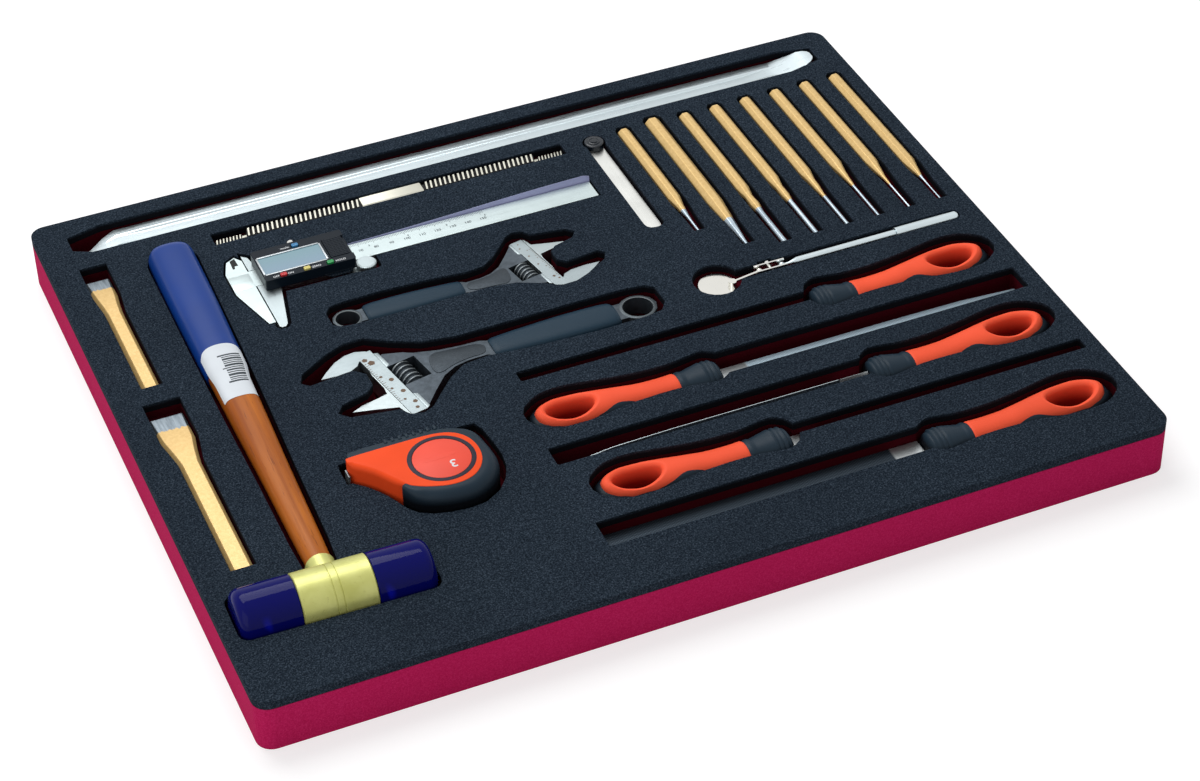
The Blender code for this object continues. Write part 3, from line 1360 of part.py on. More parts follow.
def seat_mallet():
    """The mallet hangs from an empty at the middle of its head, turned as it lies in its pocket."""
    seat = bpy.data.objects.new("mallet_seat", None)
    PARTS.objects.link(seat)
    seat.location = (MALLET_X, MALLET_HEAD_Y, 0)
    seat.rotation_euler.z = math.radians(MALLET_TURN)
    for name in ("mallet_handle", "mallet_grip", "mallet_head", "mallet_face_right", "mallet_face_left"):
        bpy.data.objects[name].parent = seat


# Chisels


def make_chisel(name, length, blade, shank, x, y):
    high = top(CHISEL_TOP)
    middle = high - CHISEL_THICK / 2
    shoulder = length * (1 - CHISEL_BLADE_SHARE)
    neck = length * (1 - CHISEL_BLADE_SHARE - CHISEL_TAPER_SHARE * 0.6)
    chamfer = CHISEL_THICK / 4
    stations = []
    for along, width, thick in (
        (0, shank - chamfer, CHISEL_THICK - chamfer), (chamfer, shank, CHISEL_THICK),
        (neck, shank, CHISEL_THICK), ((neck + shoulder) / 2, (shank + blade) / 2.08, CHISEL_THICK * 0.94),
        (shoulder, blade, CHISEL_THICK * 0.86), (length - chamfer / 2, blade, CHISEL_EDGE_THICK * 2),
        (length, blade, CHISEL_EDGE_THICK),
    ):
        a = width / 2
        b = thick / 2
        c = min(chamfer, b * 0.6)
        section = [
            (-a, -b + c), (-a + c, -b), (a - c, -b), (a, -b + c),
            (a, b - c), (a - c, b), (-a + c, b), (-a, b - c),
        ]
        stations.append((y + along, shifted(section, x, middle)))
    loft(name, rings_along_y(stations), "gold_paint", smooth=False)
    narrow = shank / 2 + TIGHT_GAP
    wide = blade / 2 + TIGHT_GAP
    outline = [
        (-narrow, -TIGHT_GAP), (narrow, -TIGHT_GAP), (narrow, neck - chamfer), (wide, shoulder - chamfer * 2),
        (wide, length + CHISEL_END_SLACK), (-wide, length + CHISEL_END_SLACK),
        (-wide, shoulder - chamfer * 2), (-narrow, neck - chamfer),
    ]
    pocket(name, moved(outline, x, y), CHISEL_TOP - CHISEL_THICK - SEAT_GAP)


# Feeler gauge


def make_feeler():
    leaf_low = FEELER_LEAF_TOP - FEELER_LEAF_COUNT * FEELER_LEAF_THICK
    leaf_low -= (FEELER_LEAF_COUNT - 1) * FEELER_LEAF_GAP
    hub_low = FEELER_HUB_TOP - FEELER_HUB_HEIGHT
    z0 = top(0)
    turned(
        "feeler_hub",
        [
            (0, FEELER_HUB_TOP), (FEELER_HUB_RADIUS * 0.9, FEELER_HUB_TOP),
            (FEELER_HUB_RADIUS, FEELER_HUB_TOP * 0.4),
            (FEELER_HUB_RADIUS, FEELER_LEAF_TOP + FEELER_LEAF_GAP),
            (FEELER_SCREW_RADIUS, FEELER_LEAF_TOP + FEELER_LEAF_GAP),
            (FEELER_SCREW_RADIUS, leaf_low - FEELER_LEAF_GAP),
            (FEELER_HUB_RADIUS, leaf_low - FEELER_LEAF_GAP),
            (FEELER_HUB_RADIUS, hub_low), (0, hub_low),
        ],
        24, upright(FEELER_X, FEELER_HUB_Y, z0), "black_plastic",
    )
    half = FEELER_LEAF_WIDTH / 2
    tail = half * 0.9
    pack = None
    for i in range(FEELER_LEAF_COUNT):
        high = z0 + FEELER_LEAF_TOP - i * (FEELER_LEAF_THICK + FEELER_LEAF_GAP)
        outline = (
            arc(FEELER_X, FEELER_HUB_Y, tail, 0, 180, 4)
            + [(FEELER_X - half, FEELER_HUB_Y - half)]
            + arc(FEELER_X, FEELER_HUB_Y + tail - FEELER_LEAF_LENGTH + half, half, 180, 360, 4)
            + [(FEELER_X + half, FEELER_HUB_Y - half)]
        )
        eye = circle(FEELER_X, FEELER_HUB_Y, FEELER_SCREW_RADIUS + FIT_GAP, 8)
        if pack is None:
            pack = prism("feeler_leaves", [outline, eye], high - FEELER_LEAF_THICK, high, "polished_steel")
        else:
            join(pack, prism(f"leaf_{i}", [outline, eye], high - FEELER_LEAF_THICK, high, None))
    washer = FEELER_LEAF_THICK / 2
    ring = circle(FEELER_X, FEELER_HUB_Y, tail * 0.8, 10)
    ring_eye = circle(FEELER_X, FEELER_HUB_Y, FEELER_SCREW_RADIUS + FIT_GAP * 1.5, 8)
    collar = prism(
        "leaf_collar", [ring, ring_eye], z0 + leaf_low + washer, z0 + FEELER_LEAF_TOP - washer, None
    )
    join(pack, collar)
    settle(pack)
    gap = TIGHT_GAP
    end = FEELER_HUB_Y + tail - FEELER_LEAF_LENGTH
    pocket(
        "feeler_leaves",
        rounded_box(FEELER_X - half - gap, end - gap, FEELER_X + half + gap, FEELER_HUB_Y, half),
        leaf_low - SEAT_GAP,
    )
    pocket("feeler_hub", circle(FEELER_X, FEELER_HUB_Y, FEELER_HUB_RADIUS + gap, 16), hub_low - SEAT_GAP)


# Punches


def make_punch(name, x, end_y, radius, length, body_share, neck, tip_radius, pin):
    """An octagonal body that narrows to a pin or to a point."""
    body = -length * body_share
    chamfer = PUNCH_CHAMFER
    corner = radius / math.cos(math.radians(PUNCH_ROLL))
    profile = [(0, 0), (corner - chamfer, 0), (corner, -chamfer), (corner, body)]
    if pin:
        profile += [
            (corner * 0.62, body - neck * 0.35), (tip_radius * 1.6, body - neck * 0.7),
            (tip_radius, body - neck),
        ]
    profile += [(tip_radius, -length), (0, -length)]
    middle = top(PUNCH_CROWN - radius)
    turned(name, profile, PUNCH_SIDES, along_y(x, end_y, middle, PUNCH_ROLL), "gold_paint")
    gap = TIGHT_GAP
    half = corner + gap
    tip_half = max(tip_radius * 2, radius * 0.72) + gap
    outline = [
        (-half * 0.6, PUNCH_END_SLACK), (-half, PUNCH_END_SLACK - half * 0.6), (-half, body - neck * 0.3),
        (-tip_half, body - neck), (-tip_half * 0.9, -length - gap), (tip_half * 0.9, -length - gap),
        (tip_half, body - neck), (half, body - neck * 0.3), (half, PUNCH_END_SLACK - half * 0.6),
        (half * 0.6, PUNCH_END_SLACK),
    ]
    pocket(name, moved(outline, x, end_y), PUNCH_CROWN - 2 * radius - (corner - radius) - SEAT_GAP)


def make_punches():
    make_punch(
        "centre_punch", PUNCH_FIRST_X, PUNCH_END_Y, CENTRE_PUNCH_RADIUS, CENTRE_PUNCH_LENGTH,
        1 - CENTRE_TAPER_SHARE, CENTRE_PUNCH_LENGTH * (CENTRE_TAPER_SHARE - CENTRE_POINT_SHARE),
        CENTRE_TIP_RADIUS, True,
    )
    make_punch(
        "drift_punch", PUNCH_FIRST_X + PUNCH_PITCH, DRIFT_PUNCH_END_Y, DRIFT_PUNCH_RADIUS, DRIFT_PUNCH_LENGTH,
        1 - DRIFT_TAPER_SHARE, DRIFT_PUNCH_LENGTH * DRIFT_TAPER_SHARE / 2, DRIFT_TIP_RADIUS, False,
    )
    for i, (share, radius) in enumerate(zip(PIN_BODY_SHARES, PIN_RADII)):
        make_punch(
            f"pin_punch_{i + 1}", PUNCH_FIRST_X + PUNCH_PITCH * (i + 2), PUNCH_END_Y, PIN_PUNCH_RADIUS,
            PIN_PUNCH_LENGTH, share, PIN_PUNCH_NECK, radius, True,
        )


# Inspection mirror


def rod(name, start, end, radius, steps=10):
    """A round rod between two points, as a cutter or a piece to join."""
    a = Vector(start)
    b = Vector(end)
    turn = (b - a).to_track_quat("Z", "Y").to_matrix().to_4x4()
    reach = (b - a).length
    return turned(
        name, [(0, reach), (radius, reach), (radius, 0), (0, 0)], steps, Matrix.Translation(a) @ turn, None
    )


def ball(name, centre, radius):
    work = bmesh.new()
    bmesh.ops.create_uvsphere(work, u_segments=12, v_segments=8, radius=radius)
    bmesh.ops.translate(work, vec=Vector(centre), verts=work.verts)
    mesh = bpy.data.meshes.new(name)
    work.to_mesh(mesh)
    work.free()
    return place_object(name, mesh, None)


def make_mirror():
    middle = top(MIRROR_MID)
    first = MIRROR_PIVOT_X - MIRROR_LINK_LENGTH / 2 + MIRROR_BALL_RADIUS
    second = MIRROR_PIVOT_X + MIRROR_LINK_LENGTH / 2 - MIRROR_BALL_RADIUS
    ball_radius = MIRROR_LINK_SPAN / 2 - MIRROR_LINK_THICK - FIT_GAP
    disc_top = top(MIRROR_DISC_TOP)
    lug_x = MIRROR_DISC_X + MIRROR_DISC_RADIUS * 0.72
    lug_y = MIRROR_DISC_Y - MIRROR_DISC_RADIUS * 0.3
    lug_radius = MIRROR_BALL_RADIUS
    head = turned(
        "mirror_head",
        [
            (0, 0), (MIRROR_DISC_RADIUS - MIRROR_DISC_THICK / 3, 0),
            (MIRROR_DISC_RADIUS, -MIRROR_DISC_THICK / 2),
            (MIRROR_DISC_RADIUS - MIRROR_DISC_THICK / 3, -MIRROR_DISC_THICK), (0, -MIRROR_DISC_THICK),
        ],
        32, upright(MIRROR_DISC_X, MIRROR_DISC_Y, disc_top), "mirror_glass",
    )
    lug_height = middle + MIRROR_ARM_RADIUS - disc_top
    lug = turned(
        "mirror_lug",
        [(0, lug_height), (lug_radius, lug_height), (lug_radius, -MIRROR_DISC_THICK / 2),
         (0, -MIRROR_DISC_THICK / 2)],
        14, upright(lug_x, lug_y, disc_top), None,
    )
    arm = rod("mirror_arm", (lug_x, lug_y, middle), (first, MIRROR_Y, middle), MIRROR_ARM_RADIUS)
    knob = ball("mirror_ball", (first, MIRROR_Y, middle), ball_radius)
    join(head, lug, arm, knob)
    settle(head)
    span = MIRROR_LINK_SPAN / 2
    plates = []
    for side in (-1, 1):
        outer = MIRROR_Y + side * span
        inner = MIRROR_Y + side * (span - MIRROR_LINK_THICK)
        plates.append(box(
            "mirror_link" if side == -1 else "mirror_plate",
            (MIRROR_PIVOT_X - MIRROR_LINK_LENGTH / 2, min(outer, inner), middle - MIRROR_LINK_HEIGHT / 2),
            (MIRROR_PIVOT_X + MIRROR_LINK_LENGTH / 2, max(outer, inner), middle + MIRROR_LINK_HEIGHT / 2),
            "polished_steel" if side == -1 else None,
        ))
    screw_start = (MIRROR_PIVOT_X, MIRROR_Y - span - MIRROR_SCREW_HEAD / 3, middle)
    screw_end = (MIRROR_PIVOT_X, MIRROR_Y + span + MIRROR_LINK_THICK / 2, middle)
    screw = rod("mirror_screw", screw_start, screw_end, MIRROR_SCREW_RADIUS / 2)
    head_piece = rod(
        "mirror_screw_head", (MIRROR_PIVOT_X, MIRROR_Y + span - MIRROR_LINK_THICK / 2, middle),
        (MIRROR_PIVOT_X, MIRROR_Y + span + MIRROR_SCREW_HEAD, middle), MIRROR_SCREW_RADIUS,
    )
    join(plates[0], plates[1], screw, head_piece)
    settle(plates[0])
    tube_end = MIRROR_SLEEVE_START + (MIRROR_END - MIRROR_SLEEVE_START) * 0.8
    tube = turned(
        "mirror_tube",
        [
            (0, tube_end - MIRROR_TUBE_START), (MIRROR_TUBE_RADIUS, tube_end - MIRROR_TUBE_START),
            (MIRROR_TUBE_RADIUS, MIRROR_TUBE_RADIUS * 2), (MIRROR_ARM_RADIUS, 0),
            (MIRROR_ARM_RADIUS, second - MIRROR_TUBE_START), (0, second - MIRROR_TUBE_START),
        ],
        16, along_x(MIRROR_TUBE_START, MIRROR_Y, middle), "polished_steel",
    )
    knob = ball("tube_ball", (second, MIRROR_Y, middle), ball_radius)
    join(tube, knob)
    settle(tube)
    bore = MIRROR_TUBE_RADIUS + FIT_GAP
    length = MIRROR_END - MIRROR_SLEEVE_START
    turned(
        "mirror_handle",
        [
            (0, length), (MIRROR_SLEEVE_RADIUS * 0.8, length),
            (MIRROR_SLEEVE_RADIUS, length - MIRROR_TUBE_RADIUS / 2),
            (MIRROR_SLEEVE_RADIUS, 0), (bore, 0), (bore, length * 0.8 + 4 * FIT_GAP),
            (0, length * 0.8 + 4 * FIT_GAP),
        ],
        16, along_x(MIRROR_SLEEVE_START, MIRROR_Y, middle), "polished_steel",
    )
    half = MIRROR_SLEEVE_RADIUS + TIGHT_GAP
    link_half = MIRROR_LINK_SPAN / 2 + MIRROR_SCREW_HEAD + TIGHT_GAP
    floor = MIRROR_MID - MIRROR_SLEEVE_RADIUS - SEAT_GAP
    pocket(
        "mirror_stem",
        rounded_box(MIRROR_DISC_X, MIRROR_Y - half, MIRROR_END + POCKET_GAP, MIRROR_Y + half, half * 0.9),
        floor,
    )
    screw_left = MIRROR_PIVOT_X - MIRROR_SCREW_RADIUS - 3 * POCKET_GAP
    screw_right = MIRROR_PIVOT_X + MIRROR_SCREW_RADIUS + TIGHT_GAP
    pocket(
        "mirror_screw",
        rounded_box(screw_left, MIRROR_Y - half, screw_right, MIRROR_Y + link_half, TIGHT_GAP),
        floor,
    )
    pocket(
        "mirror_disc", circle(MIRROR_DISC_X, MIRROR_DISC_Y, MIRROR_DISC_RADIUS + MIRROR_DISC_SLACK, 24),
        MIRROR_DISC_TOP - MIRROR_DISC_THICK - SEAT_GAP,
    )


# Files


def blade_section(kind, scale):
    """Section of a blade in y and z round its own middle."""
    if kind == "flat":
        a = FLAT_BLADE_WIDTH / 2 * scale
        b = FLAT_BLADE_THICK / 2
        return [(-a, -b), (a, -b), (a, b), (-a, b)]
    if kind == "half_round":
        a = HALF_ROUND_WIDTH / 2 * scale
        b = HALF_ROUND_THICK * scale
        turns = [math.radians(t) for t in (25, 50, 75, 105, 130, 155)]
        return [(a, b / 2), (-a, b / 2)] + [(a * -math.cos(t), b / 2 - b * math.sin(t)) for t in turns]
    if kind == "three_square":
        reach = THREE_SQUARE_SIDE / math.sqrt(3) * scale
        return circle_section(reach, 3, 90)
    if kind == "round":
        return circle_section(ROUND_BLADE_RADIUS * scale, 12, 15)
    return circle_section(SQUARE_BLADE_SIDE / math.sqrt(2) * scale, 4, 45)


def circle_section(radius, count, start):
    return arc(0, 0, radius, start, start + 360, count)[:-1]


BLADE_HALF_WIDTHS = {
    "flat": FLAT_BLADE_WIDTH / 2,
    "half_round": HALF_ROUND_WIDTH / 2,
    "three_square": THREE_SQUARE_SIDE / 2,
    "round": ROUND_BLADE_RADIUS,
    "square": SQUARE_BLADE_SIDE / 2,
}
BLADE_DEPTHS = {
    "flat": FLAT_BLADE_THICK / 2,
    "half_round": HALF_ROUND_THICK / 2,
    "three_square": THREE_SQUARE_SIDE / math.sqrt(12),
    "round": ROUND_BLADE_RADIUS,
    "square": SQUARE_BLADE_SIDE / 2,
}
BLADE_LENGTHS = {
    "flat": FILE_BLADE_LENGTH,
    "half_round": FILE_BLADE_LENGTH,
    "three_square": FILE_BLADE_LENGTH,
    "round": SHORT_BLADE_LENGTH,
    "square": SHORT_BLADE_LENGTH,
}
TIP_SCALE_SHARES = {"flat": 1.0, "half_round": 0.62, "three_square": 0.4, "round": 0.6, "square": 0.62}
HANDLE_WIDTHS = {"bolster": FILE_BOLSTER_WIDTH, "neck": FILE_NECK_WIDTH, "ring": FILE_RING_WIDTH}


def make_file(kind, butt, y, facing):
    """One file. facing is 1 with the handle at the right, -1 at the left; butt is the handle's end."""
    middle = top(FILE_MID)
    bolster = butt - facing * FILE_HANDLE_LENGTH
    rings = []
    for along, width_name, wide, offset in HANDLE_STATION_SHARES:
        half = HANDLE_WIDTHS[width_name] * wide / 2
        thick = min(half, FILE_RING_THICK / 2) if width_name == "ring" else half
        if width_name == "neck":
            thick = half * 1.04
        section = oval(half, thick, 14, 2.2)
        x = bolster + facing * FILE_HANDLE_LENGTH * along
        shift = FILE_RING_OFFSET * offset
        rings.append([(x, y + shift + a, middle + b) for a, b in section])
    handle = loft(f"{kind}_file_handle", rings, "orange_plastic")
    hole_x = butt - facing * FILE_HOLE_PLACE
    hole = prism(
        f"{kind}_hole",
        [ellipse(hole_x, y + FILE_RING_OFFSET, FILE_HOLE_LENGTH / 2, FILE_HOLE_WIDTH / 2, 24)],
        middle - CUT_OVERRUN, middle + CUT_OVERRUN, None,
    )
    bore = rod(
        f"{kind}_bore", (bolster - facing * CUT_OVERRUN, y, middle),
        (bolster + facing * (TANG_LENGTH + FIT_GAP), y, middle), TANG_RADIUS + FIT_GAP, 12,
    )
    cut(handle, hole, bore)
    settle(handle)
    heel = bolster - facing * BLADE_GAP
    length = BLADE_LENGTHS[kind]
    stations = []
    for along, fullness in BLADE_STATION_SHARES:
        scale = TIP_SCALE_SHARES[kind] + (1 - TIP_SCALE_SHARES[kind]) * fullness
        stations.append((heel - facing * length * along, shifted(blade_section(kind, scale), y, middle)))
    blade = loft(f"{kind}_file_blade", rings_along_x(stations), "dark_steel")
    tang = rod(
        f"{kind}_tang", (heel - facing * FILE_HEEL / 4, y, middle),
        (bolster + facing * TANG_LENGTH, y, middle),
        TANG_RADIUS, 12,
    )
    join(blade, tang)
    settle(blade)
    room = BLADE_HALF_WIDTHS[kind] + TRENCH_GAP
    if kind == "half_round":
        room += HALF_ROUND_TRENCH_SLACK
    front = [
        (FILE_HEEL, -room), (-length - POCKET_GAP * 0.4, -room),
        (-length - POCKET_GAP, -room + POCKET_GAP * 0.6),
    ]
    trench = front + [(a, -b) for a, b in front[::-1]]
    trench = [(heel + facing * a, y + b) for a, b in trench]
    pocket(f"{kind}_trench", trench, FILE_MID - BLADE_DEPTHS[kind] - SEAT_GAP)
    front = []
    back = []
    for along, width_name, wide, offset in HANDLE_STATION_SHARES[2:-2]:
        half = HANDLE_WIDTHS[width_name] * wide / 2
        front_gap = RING_FRONT_GAP if width_name == "ring" else POCKET_GAP
        x = facing * FILE_HANDLE_LENGTH * along
        front.append((x, FILE_RING_OFFSET * offset - half - front_gap))
        back.append((x, FILE_RING_OFFSET * offset + half + POCKET_GAP))
    start = -facing * POCKET_GAP * 2.4
    end = facing * (FILE_HANDLE_LENGTH + POCKET_GAP)
    handle_pocket = (
        [(start, -FILE_BOLSTER_WIDTH / 3)] + front + [(end, -FILE_RING_WIDTH / 6), (end, FILE_RING_WIDTH / 4)]
        + back[::-1] + [(start, FILE_BOLSTER_WIDTH / 3)]
    )
    handle_pocket = blunted(handle_pocket, HANDLE_POCKET_CORNER)
    pocket(f"{kind}_handle", moved(handle_pocket, bolster, y), FILE_MID - FILE_BOLSTER_WIDTH / 2 - SEAT_GAP)


# Foam slab


def make_slab():
    outline = rounded_box(
        -SLAB_WIDTH / 2, -SLAB_DEPTH / 2, SLAB_WIDTH / 2, SLAB_DEPTH / 2, SLAB_CORNER, 6
    )
    seam = SLAB_HEIGHT - TOP_SHEET
    base = prism("foam_base", [outline], 0, seam - GLUE_LINE / 2, "crimson_foam")
    sheet = prism("foam_top", [outline], seam + GLUE_LINE / 2, SLAB_HEIGHT, "black_foam")
    for name, shape, floor in POCKETS:
        if signed_area(shape) < 0:
            shape = shape[::-1]
        cutter = prism(name + "_pocket", [shape], top(floor), SLAB_HEIGHT + CUT_OVERRUN, None)
        cut(base, cutter)
        cut(sheet, cutter)
    settle(base)
    settle(sheet)


def set_origins():
    """Pieces that weren't turned get their origin at the middle of their own box."""
    for obj in PARTS.objects:
        if obj.matrix_world != Matrix.Identity(4):
            continue
        corners = [Vector(corner) for corner in obj.bound_box]
        middle = sum(corners, Vector()) / len(corners)
        if obj.name in ("foam_base", "foam_top"):
            middle = Vector()
        obj.data.transform(Matrix.Translation(-middle))
        obj.location = middle


def main():
    make_pry_bar()
    make_thread_file()
    make_caliper()
    make_wrench(
        "small_wrench", SMALL_WRENCH_LENGTH, SMALL_WRENCH_X, SMALL_WRENCH_Y, 0, WRENCH_MID_SMALL,
        SMALL_HOOK_REACH_SHARE,
    )
    make_wrench(
        "large_wrench", LARGE_WRENCH_LENGTH, LARGE_WRENCH_X, LARGE_WRENCH_Y, 180, WRENCH_MID_LARGE,
        LARGE_HOOK_REACH_SHARE,
    )
    make_tape()
    make_mallet()
    make_chisel(
        "small_chisel", SMALL_CHISEL_LENGTH, SMALL_CHISEL_BLADE, SMALL_CHISEL_SHANK, SMALL_CHISEL_X,
        SMALL_CHISEL_Y
    )
    make_chisel(
        "large_chisel", LARGE_CHISEL_LENGTH, LARGE_CHISEL_BLADE, LARGE_CHISEL_SHANK, LARGE_CHISEL_X,
        LARGE_CHISEL_Y
    )
    make_feeler()
    make_punches()
    make_mirror()
    make_file("round", FILE_BUTT_RIGHT, ROUND_FILE_Y, 1)
    make_file("half_round", HALF_ROUND_BUTT, HALF_ROUND_FILE_Y, -1)
    make_file("three_square", FILE_BUTT_RIGHT, THREE_SQUARE_FILE_Y, 1)
    make_file("square", SQUARE_BUTT, SQUARE_FILE_Y, -1)
    make_file("flat", FILE_BUTT_RIGHT, FLAT_FILE_Y, 1)
    make_slab()
    set_origins()
    seat_mallet()


main()
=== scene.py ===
"""Looks of the foam tool inlay: finishes for the solids and the finer pieces that stand for some of them."""

import math
from math import cos, radians, sin

import bmesh
import bpy
from mathutils import Matrix, Vector


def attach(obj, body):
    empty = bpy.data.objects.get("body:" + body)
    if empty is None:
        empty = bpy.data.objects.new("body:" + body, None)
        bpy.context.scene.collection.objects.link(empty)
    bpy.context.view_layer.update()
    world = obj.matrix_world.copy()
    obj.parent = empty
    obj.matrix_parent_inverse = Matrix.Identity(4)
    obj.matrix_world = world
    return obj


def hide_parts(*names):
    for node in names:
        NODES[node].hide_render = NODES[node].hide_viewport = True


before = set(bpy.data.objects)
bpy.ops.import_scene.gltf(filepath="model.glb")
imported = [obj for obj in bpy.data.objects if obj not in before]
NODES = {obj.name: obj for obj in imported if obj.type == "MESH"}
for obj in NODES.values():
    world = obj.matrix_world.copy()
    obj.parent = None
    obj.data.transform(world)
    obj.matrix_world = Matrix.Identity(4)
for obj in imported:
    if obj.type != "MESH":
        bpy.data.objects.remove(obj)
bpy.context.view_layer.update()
# Shapes and finishes are in millimetres. The camera, the floor, the lamps and WELD are in metres.
MM = 0.001
TOP = 34.5
HALF_WIDTH, HALF_DEPTH = 271.5, 225.5
SLAB_CORNER = 9.5
WELD = 0.000002


def put_in(name, data):
    obj = bpy.data.objects.new(name, data)
    bpy.context.scene.collection.objects.link(obj)
    return obj


# Camera, floor and light

camera = put_in("camera", bpy.data.cameras.new("camera"))
camera.data.lens = 90.907
camera.data.sensor_width = 36
camera.data.clip_start = 0.05
camera.data.clip_end = 30
camera.matrix_world = Matrix((
    (0.919227, 0.263545, -0.292515, -0.519907),
    (-0.393224, 0.576969, -0.715879, -1.309956),
    (-0.019895, 0.773079, 0.633998, 1.137569),
    (0, 0, 0, 1),
))
bpy.context.scene.camera = camera
bpy.context.scene.view_settings.view_transform = "Standard"


class Finish:
    """A material on the Principled shader, with short calls for the nodes that feed it."""

    def __init__(self, name, color, roughness, metallic=0.0, coat=0.0, specular=0.5):
        self.material = bpy.data.materials.new(name)
        self.material.use_nodes = True
        self.tree = self.material.node_tree
        self.shader = self.tree.nodes["Principled BSDF"]
        for key, value in (
            ("Base Color", (*color, 1)), ("Roughness", roughness), ("Metallic", metallic),
            ("Coat Weight", coat), ("Coat Roughness", 0.08), ("Specular IOR Level", specular),
        ):
            self.shader.inputs[key].default_value = value
        self.place = self.add("TexCoord").outputs["Object"]

    def add(self, kind, inputs=None, **settings):
        node = self.tree.nodes.new("ShaderNode" + kind)
        for key, value in settings.items():
            setattr(node, key, value)
        for key, value in (inputs or {}).items():
            if isinstance(value, bpy.types.NodeSocket):
                self.tree.links.new(value, node.inputs[key])
            else:
                node.inputs[key].default_value = value
        return node

    def turned(self, stretch, turn=0.0):
        """Coordinates turned about Z in degrees, then stretched."""
        inputs = {"Vector": self.place, "Rotation": (0, 0, radians(turn))}
        spun = self.add("Mapping", inputs).outputs["Vector"]
        return self.add("Mapping", {"Vector": spun, "Scale": stretch}).outputs["Vector"]

    def noise(self, scale, detail=3.0, rough=0.6, stretch=None, turn=0.0, distortion=0.0):
        where = self.turned(stretch, turn) if stretch else self.place
        return self.add("TexNoise", {
            "Vector": where, "Scale": scale, "Detail": detail, "Roughness": rough, "Distortion": distortion,
        }).outputs["Fac"]

    def along(self, direction):
        """How far each point lies along a direction, in millimetres."""
        scaled = [share / MM for share in direction]
        node = self.add("VectorMath", {0: self.place, 1: scaled}, operation="DOT_PRODUCT")
        return node.outputs["Value"]

    def span(self, value, low, high, to_low=0.0, to_high=1.0):
        return self.add("MapRange", {
            "Value": value, "From Min": low, "From Max": high, "To Min": to_low, "To Max": to_high,
        }).outputs["Result"]

    def math(self, operation, a, b=0.0):
        return self.add("Math", {0: a, 1: b}, operation=operation).outputs["Value"]

    def ramp(self, value, *stops):
        node = self.add("ValToRGB", {"Fac": value})
        band = node.color_ramp
        while len(band.elements) < len(stops):
            band.elements.new(0.5)
        for element, (place, color) in zip(band.elements, stops):
            element.position = place
            element.color = (*color, 1)
        return node.outputs["Color"]

    def mix(self, share, a, b):
        a, b = (color if isinstance(color, bpy.types.NodeSocket) else (*color, 1) for color in (a, b))
        return self.add("Mix", {0: share, 6: a, 7: b}, data_type="RGBA").outputs[2]

    def feed(self, name, socket):
        self.tree.links.new(socket, self.shader.inputs[name])
        return self

    def color(self, socket):
        return self.feed("Base Color", socket)

    def bump(self, height, distance, strength=1.0):
        inputs = {"Height": height, "Distance": distance * MM, "Strength": strength}
        node = self.add("Bump", inputs)
        return self.feed("Normal", node.outputs["Normal"])


def lit_by_eye(tree, plain, seen):
    """Mixes two shaders: seen for camera, glossy and transmission rays, plain for the rest."""
    path = tree.nodes.new("ShaderNodeLightPath")
    share = path.outputs["Is Camera Ray"]
    for kind in ("Is Glossy Ray", "Is Transmission Ray"):
        either = tree.nodes.new("ShaderNodeMath")
        either.operation = "MAXIMUM"
        tree.links.new(share, either.inputs[0])
        tree.links.new(path.outputs[kind], either.inputs[1])
        share = either.outputs[0]
    mixed = tree.nodes.new("ShaderNodeMixShader")
    for index, socket in enumerate((share, plain, seen)):
        tree.links.new(socket, mixed.inputs[index])
    return mixed.outputs[0]


def make_world():
    world = bpy.data.worlds.new("studio")
    bpy.context.scene.world = world
    world.use_nodes = True
    tree = world.node_tree
    soft, white = tree.nodes["Background"], tree.nodes.new("ShaderNodeBackground")
    for node, color, strength in ((soft, (0.96, 0.98, 1, 1), 0.4), (white, (1, 1, 1, 1), 1)):
        node.inputs["Color"].default_value = color
        node.inputs["Strength"].default_value = strength
    out = tree.nodes["World Output"]
    tree.links.new(lit_by_eye(tree, soft.outputs[0], white.outputs[0]), out.inputs["Surface"])


def make_floor():
    mesh = bpy.data.meshes.new("floor")
    reach = 4
    corners = [(-reach, -reach, 0), (reach, -reach, 0), (reach, reach, 0), (-reach, reach, 0)]
    mesh.from_pydata(corners, [], [(0, 1, 2, 3)])
    floor = put_in("floor", mesh)
    paper = Finish("paper_floor", (0.86, 0.86, 0.86), 0.9)
    tree = paper.tree
    glow = paper.add("Emission", {"Strength": 0.62})
    pale = paper.add("BsdfDiffuse", {"Color": (0.5, 0.5, 0.5, 1)})
    both = paper.add("AddShader", {0: pale.outputs[0], 1: glow.outputs[0]})
    out = tree.nodes["Material Output"]
    tree.links.new(lit_by_eye(tree, paper.shader.outputs[0], both.outputs[0]), out.inputs["Surface"])
    mesh.materials.append(paper.material)


def make_light(name, place, target, width, power):
    data = bpy.data.lights.new(name, "AREA")
    data.shape = "SQUARE"
    data.size = width
    data.energy = power
    light = put_in(name, data)
    light.location = place
    light.rotation_euler = (Vector(target) - Vector(place)).to_track_quat("-Z", "Y").to_euler()


make_world()
make_floor()
make_light("softbox", (-0.2, 0.75, 1.5), (0, 0, 0), 1.1, 20)
make_light("fill", (-1.3, -1.0, 0.8), (0, 0, 0), 1.4, 6)

# Finishes

RUBBER_BLACK = (0.016, 0.03, 0.045)
FILE_ORANGE = (1.0, 0.115, 0.05)


def foam(name, dark, pale, tone, deep):
    made = Finish(name, tone, 0.95, specular=0.06)
    grain = made.noise(1050, 4, 0.8)
    patches = made.noise(14, 2, 0.5)
    speckled = made.ramp(grain, (0.36, dark), (0.52, tone), (0.68, pale))
    tinted = made.mix(made.span(patches, 0.35, 0.65, 0, 0.18), speckled, dark)
    # Painted shade: inside the slab's skin, the foam from just under the top down is mixed towards deep, a
    # dark tone that stands for the shade on the pocket walls.
    inside = made.math("MULTIPLY", within(made), made.span(made.along((0, 0, 1)), TOP - 0.25, TOP - 2.2))
    made.color(made.mix(inside, tinted, deep))
    return made.bump(grain, 0.3, 0.55)


